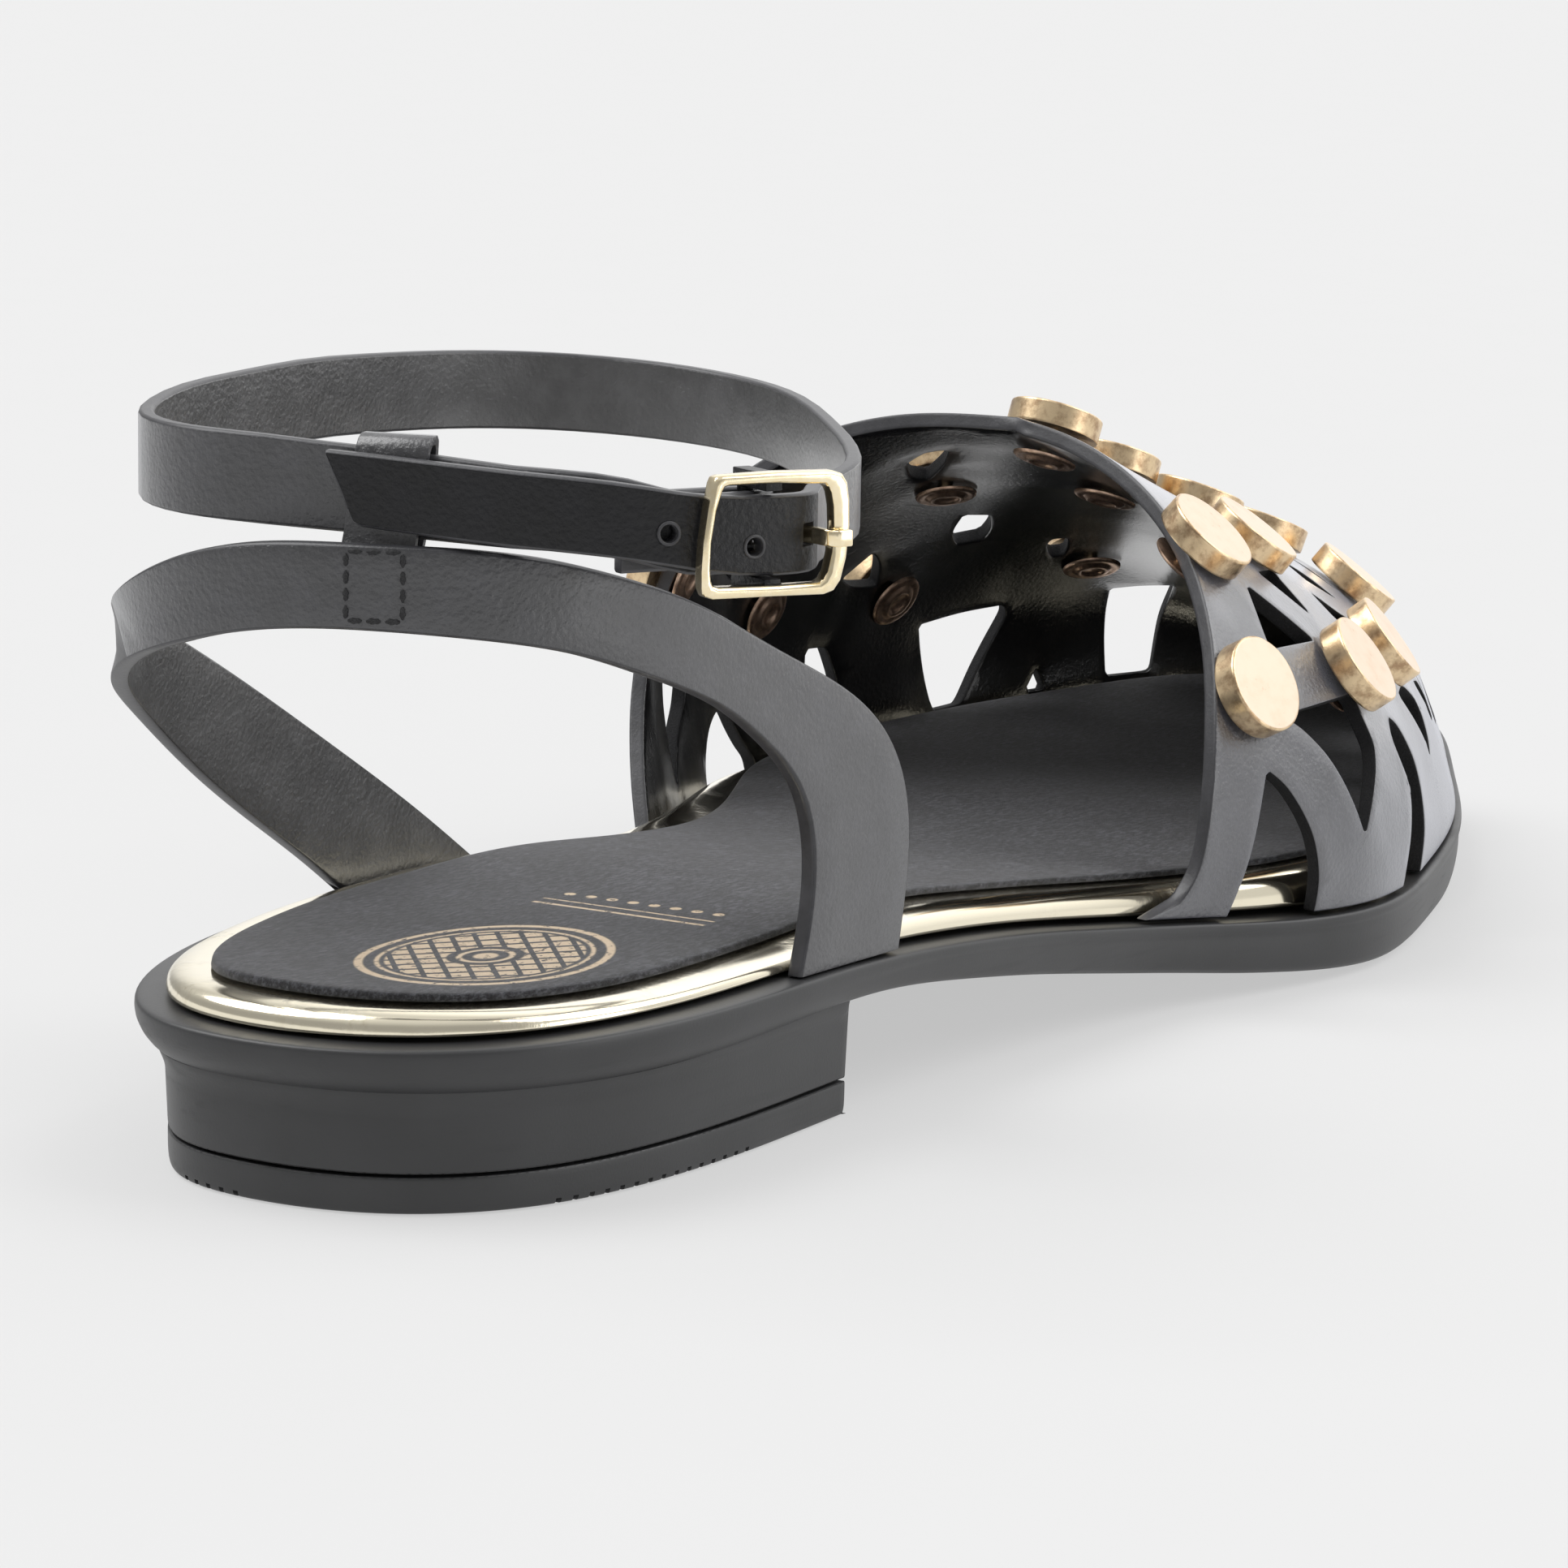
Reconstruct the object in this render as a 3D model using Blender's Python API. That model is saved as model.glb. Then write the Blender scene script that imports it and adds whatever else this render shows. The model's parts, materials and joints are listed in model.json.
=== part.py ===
"""Open-side lattice sandal, right foot, about EU 38. Metres, +Z up, +X to the toe, +Y to the inner side.
The origin is on the floor under the middle of the heel. The shoe stands on its heel lift and forefoot.
The tables below are in millimetres with x counted from the back of the heel seat."""

import math

import bmesh
import bpy
import numpy as np
from mathutils import Vector
from mathutils.geometry import delaunay_2d_cdt

MM = 0.001
GAP = 0.3  # between touching pieces
ORIGIN_X = 31.0  # the row's origin, in front of the back of the heel seat

# sole
SOLE_LENGTH = 250.0
HEEL_BREAST_X = 62.4  # front face of the heel
LIFT_HEIGHT = 3.7
HEEL_INSET = 3.3  # heel block inside the rim's outline
LIP_DEPTH = 1.3  # raised lip round the outsole's side
LIP_GROOVE = 0.4
RAND_INSET = 3.0
RAND_ROUND = 2.4  # width of the rand's rounded shoulder
SOCK_THICKNESS = 0.9

# upper
VAMP_THICKNESS = 1.8
VAMP_INSET = 0.8
VAMP_LIFT = 0.5  # vamp feet above the outsole's ledge
BACK_THICKNESS = 1.8
ANKLE_THICKNESS = 1.5
BUCKLED_WIDTH = 7.3  # the strap narrows to this in the buckle

# hardware
STUD_RADIUS = 5.55
STUD_HEIGHT = 2.8
SHANK_RADIUS = 0.9
SHANK_HOLE = 1.3
RIVET_RADIUS = 3.1
RIVET_HEIGHT = 0.8
BUCKLE_DEPTH = 1.6
BAR_RADIUS = 0.75
PRONG_WIDTH = 1.5
PRONG_THICKNESS = 1.0
HOLE_RADIUS = 0.8
PRONG_DROP = 0.4  # below the bar's middle
KEEPER_WIDTH = 7.0
KEEPER_THICKNESS = 0.9

# plan of the outsole's rim: x, outer side y, inner side y
OUTLINE = (
    (2.5, -12.5, 12.5),
    (11, -22.9, 20.8),
    (29, -29.9, 27.9),
    (62, -32.0, 30.1),
    (95, -33.4, 28.7),
    (125, -37.7, 34.2),
    (155, -46.4, 44.7),
    (180, -42.6, 47.8),
    (205, -35.7, 44.5),
    (228, -24.8, 35.9),
    (243, -16.1, 24.3),
)
TOE_Y = -4.5

# side view of the outsole: x, height of the rim, height of the underside
PROFILE = (
    (0, 16.4, 11.6),
    (30, 16.6, 11.3),
    (62, 16.4, 12.0),
    (90, 14.2, 9.0),
    (120, 10.3, 4.2),
    (145, 7.9, 0.8),
    (160, 7.5, 0.0),
    (188, 7.7, 0.0),
    (202, 8.6, 0.8),
    (215, 9.8, 2.0),
    (232, 11.9, 4.0),
    (250, 14.6, 7.2),
)

# rand: x, height of its top above the outsole's ledge
RAND_HEIGHT = ((0, 2.6), (8, 2.45), (18, 2.0), (34, 1.6), (53, 1.6), (80, 3.0), (95, 2.95), (108, 3.3), (120, 3.6), (130, 4.0), (142, 4.8), (156, 5.5), (170, 5.4), (190, 5.1), (205, 4.6), (216, 4.0), (228, 3.2), (240, 2.8), (250, 2.7))
# how much higher its shoulder is under the arch, on the inner side
ARCH_RISE = ((104, 0), (118, 1.3), (134, 2.0), (148, 1.2), (160, 0))

# sock: x, distance inside the rim's outline
SOCK_EDGE = {
    -1: ((0, 7.2), (40, 7.8), (80, 8.4), (130, 6.2), (180, 5.7), (205, 6.6), (230, 7.0), (250, 6.8)),
    1: ((0, 7.2), (40, 7.8), (80, 8.4), (112, 8.6), (138, 8.2), (165, 6.2), (180, 5.6), (230, 6.6), (250, 6.8)),
}

# last under the vamp. along = mm round the feather edge from the toe tip
RIDGE_X = ((0, 234), (20, 220.8), (40, 207.5), (60, 195.6), (80, 185.2), (100, 171.4), (120, 152.7), (140, 132), (160, 110.7))  # along, x of the ridge over it
RIDGE_Z = ((98, 77.9), (118, 72.7), (131, 68.8), (150, 62.3), (170, 54.3), (190, 46.0), (210, 37.2), (234, 25.3))  # x, height
RIDGE_Y = ((98, 1.2), (130, 2.0), (165, 2.9), (200, 3.7), (234, 4.7))  # x, sideways
RIDGE_ROUND = 0.8  # past this share of the way in, the vamp turns to cross the ridge squarely
FULLNESS = {-1: ((0, 2.9), (60, 2.2), (150, 1.45)), 1: ((0, 2.9), (60, 2.6), (150, 2.22))}  # along, exponent of the arch
BULGE = {-1: ((0, -0.8), (40, -2.6), (90, 1.8), (150, 7.0)), 1: ((0, -0.8), (40, 1.3), (90, 0.9), (150, 6.5))}  # along, mm past the feather edge

# topline: across (-1 outer foot, 0 ridge, 1 inner foot), along
TOPLINE = (
    (-1, 146), (-0.97, 142), (-0.93, 139.5), (-0.88, 138.4), (-0.8, 137.3), (-0.7, 134.8), (-0.55, 128.4), (-0.4, 121.8), (-0.2, 116.3),
    (0, 115.7), (0.2, 119.6), (0.4, 127.0), (0.55, 134.4), (0.7, 142.1), (0.85, 149.3), (1, 157.6),
)

# cut-outs of the vamp. side, then (along, up) with up 0 at the feather edge and 1 at the ridge
CUTOUTS = (
    ("outer_rear_notch", -1, ((133.6, -0.1), (131.9, 0.05), (130.9, 0.105), (129.8, 0.159), (128.6, 0.207), (127.3, 0.245), (124.5, 0.223), (122.2, 0.185), (120.4, 0.145), (119.4, 0.102), (118.6, 0.052), (118.6, -0.1))),
    ("outer_side_window", -1, ((122.3, 0.319), (105.5, 0.350), (105.3, 0.308), (104.6, 0.268), (106.0, 0.232), (108.4, 0.185), (110.6, 0.132), (112.2, 0.179), (114.1, 0.226), (116.1, 0.264), (119.3, 0.301))),
    ("outer_upper_window", -1, ((115.4, 0.519), (111.6, 0.480), (107.7, 0.437), (119.0, 0.415), (118.9, 0.432), (117.4, 0.475))),
    ("outer_wedge", -1, ((109.0, 0.554), (102.8, 0.572), (102.8, 0.485))),
    ("outer_blade", -1, ((93.2, 0.541), (83.6, 0.482), (92.2, 0.484))),
    ("outer_top_blade", -1, ((88.5, 0.622), (82.4, 0.604), (77.6, 0.535), (87.7, 0.577))),
    ("outer_ridge_blade", -1, ((75.0, 0.700), (71.0, 0.625), (69.4, 0.560), (73.4, 0.630))),
    ("outer_toe_notch", -1, ((95.6, 0.302), (97.5, 0.269), (96.2, 0.224), (94.5, 0.185), (94.9, 0.150), (96.0, 0.093), (97.0, 0.050), (97.4, -0.1), (88.4, -0.1), (87.3, 0.040), (86.8, 0.077), (87.1, 0.109), (87.5, 0.156), (88.4, 0.218), (92.4, 0.286))),
    ("outer_toe_slit", -1, ((82.0, 0.322), (78.1, 0.271), (74.6, 0.216), (74.0, 0.178), (71.2, 0.204), (69.6, 0.249), (70.2, 0.290), (75.3, 0.335))),
    ("outer_cap_slit", -1, ((63.5, 0.308), (60.5, 0.255), (60.5, 0.205), (55.5, 0.200), (53.0, 0.240), (56.5, 0.295))),
    ("outer_cap_window", -1, ((46.0, 0.060), (41.0, 0.060), (36.0, 0.200), (38.0, 0.340), (44.0, 0.300), (47.0, 0.180))),
    ("outer_cap_sliver", -1, ((30.0, 0.060), (25.5, 0.060), (27.0, 0.220))),
    ("inner_rear_notch", 1, ((124.0, -0.1), (123.0, 0.020), (122.3, 0.050), (120.6, 0.086), (118.0, 0.112), (115.9, 0.117), (114.0, 0.110), (111.9, 0.084), (109.0, 0.054), (106.6, 0.036), (105.4, -0.020), (105.0, -0.1))),
    ("inner_rear_window", 1, ((140.8, 0.225), (131.5, 0.235), (128.9, 0.180), (129.6, 0.132), (132.9, 0.100), (135.6, 0.062), (137.0, 0.036), (138.4, 0.075), (139.8, 0.137))),
    ("inner_upper_window", 1, ((128.5, 0.430), (122.0, 0.400), (119.0, 0.330), (127.0, 0.360))),
    ("inner_mid_window", 1, ((95.5, 0.207), (91.0, 0.210), (86.8, 0.130), (86.6, 0.055), (91.0, 0.055), (94.6, 0.130))),
    ("inner_mid_blade", 1, ((93.2, 0.376), (90.1, 0.462), (86.5, 0.433), (84.0, 0.362), (89.9, 0.354))),
    ("inner_big_window", 1, ((71.6, 0.240), (64.0, 0.268), (56.2, 0.290), (55.2, 0.250), (57.0, 0.170), (59.3, 0.098), (61.8, 0.036), (67.2, 0.036), (68.8, 0.100), (70.2, 0.170))),
    ("inner_sliver", 1, ((50.7, 0.032), (48.9, 0.080), (47.5, 0.030))),
    ("inner_cap_window", 1, ((38.7, 0.395), (34.0, 0.450), (29.2, 0.517), (29.3, 0.400), (30.2, 0.240), (31.0, 0.034), (37.8, 0.034), (38.2, 0.150), (38.5, 0.270))),
    ("inner_top_blade", 1, ((99.5, 0.741), (102.8, 0.720), (107.3, 0.751), (109.2, 0.812), (108.2, 0.850), (103.3, 0.807))),
    ("inner_crown_blade", 1, ((69.3, 0.573), (73.6, 0.535), (77.8, 0.585), (81.0, 0.671), (76.8, 0.705), (70.9, 0.639))),
    ("inner_crown_sliver", 1, ((50.4, 0.560), (52.6, 0.539), (55.8, 0.612), (56.2, 0.656), (54.1, 0.690), (51.4, 0.620))),
)

# studs: name, side, along, up
STUDS = (
    ("01", -1, 127.6, 0.350),
    ("02", -1, 120.4, 0.572),
    ("03", -1, 104.8, 0.616),
    ("04", -1, 108.0, 0.970),
    ("05", -1, 89.0, 0.965),
    ("06", -1, 74.0, 0.870),
    ("07", -1, 58.0, 0.800),
    ("08", -1, 62.0, 0.563),
    ("09", -1, 103.6, 0.385),
    ("10", -1, 82.9, 0.416),
    ("11", 1, 44.8, 0.562),
    ("12", 1, 93.8, 0.738),
    ("13", 1, 79.7, 0.331),
    ("14", 1, 109.2, 0.288),
    ("15", 1, 138.0, 0.325),
    ("16", 1, 112.5, 0.545),
)

# back strap, from its outer foot round the heel to its inner foot: x, y, low edge z, high edge z
# its two feet are cut flat on the outsole, so each edge keeps its own path
BACK_LOW = (
    (49.4, -30.8, 16.85), (51.6, -30.9, 25), (51.4, -30.8, 31), (49.0, -30.6, 36), (43.6, -30.3, 40.5), (36.6, -29.9, 44.8),
    (29.5, -29.4, 47.7), (22.5, -28.2, 50.2), (14.5, -25.4, 52.8), (8.0, -20.7, 54.2), (3.4, -14.3, 54.9), (0.8, -7.6, 55.0),
    (0.0, 0.0, 54.2), (0.9, 8.0, 52.3), (4.3, 16.0, 49.7), (10.5, 23.0, 46.2), (20.7, 28.2, 41.0), (31.5, 29.6, 33.6),
    (42.0, 29.8, 26.8), (50.6, 29.6, 21.4), (57.2, 29.6, 16.95),
)
BACK_HIGH = (
    (68.1, -31.5, 16.45), (69.4, -31.7, 24), (69.7, -31.7, 29), (68.5, -31.6, 34.2), (65.6, -31.4, 38.6), (58.8, -31.0, 43.6),
    (45.2, -30.3, 49.6), (32.4, -29.6, 55.2), (21.5, -28.2, 58.9), (11.5, -23.8, 61.7), (5.0, -17.0, 62.6), (1.2, -9.2, 62.8),
    (0.0, 0.0, 62.3), (0.9, 8.0, 60.4), (4.3, 16.0, 57.2), (11.5, 23.7, 53.4), (24.0, 28.8, 49.0), (38.0, 29.8, 42.4),
    (54.9, 29.9, 33.0), (69.6, 29.5, 24.2), (82.6, 28.7, 15.35),
)

# buckle: its middle bar, and the heading of the strap there in plan
BUCKLE_AT = (24.8, -37.9, 64.1)
BUCKLE_HEADING = -30.0  # degrees from +X

# ankle strap's main layer, from the buckle round the heel and the inner side and back: x, y, z, width
ANKLE_LOOP = (
    (14.6, -32.2, 65.35, 7.3), (10.4, -22.6, 66.2, 7.4), (8.3, -12.6, 66.8, 7.8), (6.8, -6.4, 67.1, 8.0), (5.0, 1.0, 67.5, 8.2), (4.6, 8.0, 67.7, 8.2),
    (8.9, 16.9, 67.85, 8.2), (17.4, 22.6, 68.2, 8.2), (27.5, 26.0, 68.6, 8.2), (40.0, 28.0, 68.75, 8.2), (52.0, 29.2, 68.8, 8.2), (63.5, 29.5, 68.4, 8.2),
    (74.3, 27.6, 68.0, 8.2), (84.0, 21.2, 67.5, 8.2), (88.2, 9.4, 66.9, 8.1), (85.4, -3.2, 66.35, 7.9), (78.3, -12.8, 65.95, 7.8), (71.0, -19.5, 65.55, 7.7),
    (64.5, -24.8, 65.2, 7.6), (58.0, -29.7, 65.0, 7.5), (51.0, -34.4, 64.8, 7.4), (43.6, -38.1, 64.5, 7.3),
)
# its free end over the main layer, from the buckle to the heel
ANKLE_TIP = ((12.7, -33.2, 65.5, 6.8), (8.4, -23.4, 66.35, 6.8), (5.5, -14.0, 67.1, 6.75), (3.9, -8.0, 67.55, 6.7))
TIP_SLANT = 2.4  # how far the free end's lower corner falls short of its upper one
TIP_CORNER = 1.3  # radius of that lower corner
HOLES = ((-1.2, -0.95), (-9.8, -0.45))  # adjusting holes: along the free end from the bar, off its middle

# buckle's frame seen square on: outside and inside of its bars, along the strap and up
FRAME_OUTSIDE = (
    (7.5, 0.6), (7.42, 3.0), (7.15, 4.5), (6.6, 5.3), (5.6, 5.62), (0.0, 5.75), (-5.9, 5.65), (-6.4, 5.5), (-6.65, 5.0), (-7.1, 2.8),
    (-7.55, -0.3), (-7.7, -3.0), (-7.65, -4.4), (-7.35, -5.1), (-6.6, -5.4), (0.0, -5.5), (4.9, -5.6), (5.95, -5.3), (6.65, -4.4), (7.2, -2.4),
)
FRAME_INSIDE = (
    (5.85, 0.5), (5.75, 2.4), (5.5, 3.6), (5.2, 4.15), (4.7, 4.45), (0.0, 4.7), (-5.0, 4.75), (-5.5, 4.6), (-5.75, 4.2), (-6.3, 2.5),
    (-6.75, -0.3), (-6.85, -2.6), (-6.8, -3.6), (-6.6, -4.1), (-6.0, -4.35), (0.0, -4.5), (4.3, -4.5), (4.85, -4.2), (5.3, -3.5), (5.7, -1.8),
)

# keeper: a tab stitched inside the back strap, over the main layer. inward from the strap's outside, height
KEEPER_AT = (1.83, -11.5)
KEEPER_HEADING = 199.5  # degrees from +X, outward
KEEPER_PATH = (
    (3.3, 54.8), (3.3, 59.4), (3.6, 60.7), (4.3, 62.0), (4.5, 63.4), (4.4, 66.0), (4.4, 70.25), (4.6, 71.2), (5.15, 71.7), (5.95, 71.85),
    (6.75, 71.7), (7.35, 71.2), (7.6, 70.25), (7.55, 62.6), (6.9, 61.2), (5.3, 59.4), (4.6, 58.0), (4.6, 54.8),
)


# ---------------------------------------------------------------- helpers
def between(table, x, column=1):
    """Smooth value from a table's column at x, held level past its ends."""
    xs = np.array([row[0] for row in table], float)
    ys = np.array([row[column] for row in table], float)
    x = np.clip(np.asarray(x, float), xs[0], xs[-1])
    h = np.diff(xs)
    d = np.diff(ys) / h
    m = np.empty(len(xs))
    m[0], m[-1] = d[0], d[-1]
    same = d[:-1] * d[1:] > 0
    w = h[:-1] + h[1:]
    m[1:-1] = np.where(same, (d[:-1] * h[1:] + d[1:] * h[:-1]) / w, 0)
    i = np.clip(np.searchsorted(xs, x) - 1, 0, len(h) - 1)
    t = (x - xs[i]) / h[i]
    return (
        (2 * t**3 - 3 * t**2 + 1) * ys[i]
        + (t**3 - 2 * t**2 + t) * h[i] * m[i]
        + (3 * t**2 - 2 * t**3) * ys[i + 1]
        + (t**3 - t**2) * h[i] * m[i + 1]
    )


def spline(points, count, start=None, end=None):
    """A curve through the points, evenly spaced by length. start and end fix the end tangents."""
    p = np.array(points, float)
    s = np.r_[0, np.cumsum(np.linalg.norm(np.diff(p, axis=0), axis=1))]
    n = len(p)
    a = np.zeros((n, n))
    b = np.zeros_like(p)
    h = np.diff(s)
    for i in range(1, n - 1):
        a[i, i - 1], a[i, i], a[i, i + 1] = h[i], 2 * (h[i - 1] + h[i]), h[i - 1]
        b[i] = 3 * (h[i] * (p[i] - p[i - 1]) / h[i - 1] + h[i - 1] * (p[i + 1] - p[i]) / h[i])
    for row, other, fixed, run in ((0, 1, start, (p[1] - p[0]) / h[0]), (n - 1, n - 2, end, (p[-1] - p[-2]) / h[-1])):
        if fixed is None:
            a[row, row], a[row, other], b[row] = 2, 1, 3 * run
        else:
            a[row, row], b[row] = 1, np.array(fixed, float)
    m = np.linalg.solve(a, b)
    fine = np.linspace(0, s[-1], count * 8 + 1)
    i = np.clip(np.searchsorted(s, fine) - 1, 0, n - 2)
    t = ((fine - s[i]) / h[i])[:, None]
    k = h[i][:, None]
    q = (
        (2 * t**3 - 3 * t**2 + 1) * p[i]
        + (t**3 - 2 * t**2 + t) * k * m[i]
        + (3 * t**2 - 2 * t**3) * p[i + 1]
        + (t**3 - t**2) * k * m[i + 1]
    )
    d = np.r_[0, np.cumsum(np.linalg.norm(np.diff(q, axis=0), axis=1))]
    even = np.linspace(0, d[-1], count)
    return np.stack([np.interp(even, d, q[:, c]) for c in range(p.shape[1])], 1)


def rim_side(side, count):
    """One side of the rim's outline, heel to toe tip."""
    column = 1 if side < 0 else 2
    points = [(0, 0)] + [(row[0], row[column]) for row in OUTLINE] + [(SOLE_LENGTH, TOE_Y)]
    return spline(points, count, start=(0, side), end=(0, -side))


RIM = {side: rim_side(side, 241) for side in (-1, 1)}


def inset_side(side, inset):
    """One side of the outline moved in by inset, a number or one per point."""
    c = RIM[side]
    t = np.gradient(c, axis=0)
    t[0], t[-1] = (0, side), (0, -side)
    t /= np.linalg.norm(t, axis=1)[:, None]
    normal = np.stack([t[:, 1], -t[:, 0]], 1) * side
    return c + normal * np.reshape(inset, (-1, 1))


def top_z(x):
    return between(PROFILE, x, 1)


def under_z(x):
    return between(PROFILE, x, 2)


def material(name, color, roughness, metallic=0.0):
    made = bpy.data.materials.new(name)
    made.use_nodes = True
    shader = made.node_tree.nodes["Principled BSDF"]
    shader.inputs["Base Color"].default_value = (*color, 1)
    shader.inputs["Roughness"].default_value = roughness
    shader.inputs["Metallic"].default_value = metallic
    made.diffuse_color = (*color, 1)
    return made


def move_to_row(bm, from_heel=True):
    if from_heel:
        bmesh.ops.translate(bm, vec=(-ORIGIN_X, 0, 0), verts=bm.verts)
    bmesh.ops.scale(bm, vec=(MM, MM, MM), verts=bm.verts)


def solid(name, bm, made, from_heel=True):
    """Closes up a bmesh in millimetres as one named object in metres."""
    bmesh.ops.remove_doubles(bm, verts=bm.verts, dist=0.001)
    bmesh.ops.recalc_face_normals(bm, faces=bm.faces)
    move_to_row(bm, from_heel)
    mesh = bpy.data.meshes.new(name)
    bm.to_mesh(mesh)
    bm.free()
    mesh.materials.append(made)
    mesh.shade_smooth()
    mesh.set_sharp_from_angle(angle=math.radians(38))
    item = bpy.data.objects.new(name, mesh)
    bpy.context.scene.collection.objects.link(item)
    return item


def skin(rings, close_ends=True, closed_path=False):
    """Quads between equal rings of points, with the two end rings filled."""
    bm = bmesh.new()
    loops = [[bm.verts.new(p) for p in ring] for ring in rings]
    pairs = list(zip(loops, loops[1:]))
    if closed_path:
        pairs.append((loops[-1], loops[0]))
    for a, b in pairs:
        for i in range(len(a)):
            j = (i + 1) % len(a)
            bm.faces.new((a[i], a[j], b[j], b[i]))
    if close_ends and not closed_path:
        bm.faces.new(loops[0])
        bm.faces.new(loops[-1])
    return bm


def plate(layers):
    """A plate from layers of (outer side points, inner side points), each running heel to toe."""
    bm = bmesh.new()
    rows = []
    for outer, inner in layers:
        rows.append(([bm.verts.new(p) for p in outer], [bm.verts.new(p) for p in inner]))
    for (ao, ai), (bo, bi) in zip(rows, rows[1:]):
        for a, b in ((ao, bo), (ai, bi)):
            for i in range(len(a) - 1):
                bm.faces.new((a[i], a[i + 1], b[i + 1], b[i]))
    for outer, inner in (rows[0], rows[-1]):
        for i in range(len(outer) - 1):
            bm.faces.new((outer[i], outer[i + 1], inner[i + 1], inner[i]))
    if (rows[0][0][-1].co - rows[0][1][-1].co).length > 1:
        for (ao, ai), (bo, bi) in zip(rows, rows[1:]):
            bm.faces.new((ao[-1], bo[-1], bi[-1], ai[-1]))
    bmesh.ops.remove_doubles(bm, verts=bm.verts, dist=0.0005)
    bmesh.ops.dissolve_degenerate(bm, edges=bm.edges, dist=0.0005)
    return bm


STEP = 6  # every sixth outline point makes a station


def layer(inset, height, until=None):
    """One layer of a plate: both sides moved in by inset, at height(x, side), as far as x = until."""
    sides = []
    for side in (-1, 1):
        amount = inset(RIM[side][:, 0], side) if callable(inset) else inset
        c = inset_side(side, amount)
        if until is None:
            c = c[::STEP]
        else:
            d = np.r_[0, np.cumsum(np.linalg.norm(np.diff(c, axis=0), axis=1))]
            end = np.interp(until, c[:, 0], d)
            c = np.column_stack([np.interp(np.linspace(0, end, 19), d, c[:, k]) for k in (0, 1)])
        sides.append(np.column_stack([c, np.broadcast_to(height(c[:, 0], side), len(c))]))
    return sides


# ---------------------------------------------------------------- last under the vamp
def feather(side, along):
    c = inset_side(side, VAMP_INSET)[::-1]
    d = np.r_[0, np.cumsum(np.linalg.norm(np.diff(c, axis=0), axis=1))]
    x, y = np.interp(along, d, c[:, 0]), np.interp(along, d, c[:, 1])
    return np.array([x, y, top_z(x) + VAMP_LIFT])


def on_last(side, along, up):
    """Point of the vamp's outside at along mm from the toe and up from the feather edge to the ridge."""
    foot = feather(side, along)
    x = float(between(RIDGE_X, along))
    ridge = np.array([x, between(RIDGE_Y, x), between(RIDGE_Z, x)])
    power = 2 / float(between(FULLNESS[side], along))
    turn = up * math.pi / 2
    inward = 1 - max(math.cos(turn), 0) ** power
    rise = max(math.sin(turn), 0) ** power
    run = ridge[:2] - foot[:2]
    out = float(between(BULGE[side], along)) * 4 * rise * (1 - rise) / max(np.linalg.norm(run), 1e-6)
    past = max(inward - RIDGE_ROUND, 0) ** 2 / (2 * (1 - RIDGE_ROUND))
    flat = foot[:2] + run * (inward - out) - np.array([run[0] * past, 0])
    return Vector((flat[0], flat[1], foot[2] + (ridge[2] - foot[2]) * rise))


def last_normal(side, along, up):
    along = max(along, 0.6)
    up = min(max(up, 0.012), 0.988)
    a = on_last(side, along + 0.5, up) - on_last(side, along - 0.5, up)
    b = on_last(side, along, up + 0.01) - on_last(side, along, up - 0.01)
    n = a.cross(b).normalized()
    return n * side


# pattern of the vamp laid flat: u is along, v is across in mm with the ridge at 0
GIRTH = 50.0


def to_pattern(side, along, up):
    return Vector((along, side * (1 - up) * GIRTH))


def from_pattern(u, v):
    side = -1 if v < 0 else 1
    return side, max(u, 0.0), min(max(1 - abs(v) / GIRTH, 0.0), 1.0)


def rounded(points, share=0.22, tip=0.45):
    """Cuts each corner of a loop: a gentle one by a share of its sides, a sharp one by tip mm."""
    out = []
    for before, at, after in zip(points[-1:] + points[:-1], points, points[1:] + points[:1]):
        sharp = (at - before).angle(after - at) > math.radians(38)
        for end in (before, after):
            out.append(at.lerp(end, min(share, tip / (end - at).length) if sharp else share))
    return out


def inside(p, loop):
    hit = False
    for a, b in zip(loop, loop[1:] + loop[:1]):
        if (a.y > p.y) != (b.y > p.y) and p.x < a.x + (p.y - a.y) * (b.x - a.x) / (b.y - a.y):
            hit = not hit
    return hit


def segment_distance(p, a, b):
    ab = b - a
    t = max(0, min(1, (p - a).dot(ab) / max(ab.length_squared, 1e-9)))
    return (p - a - ab * t).length


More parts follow.
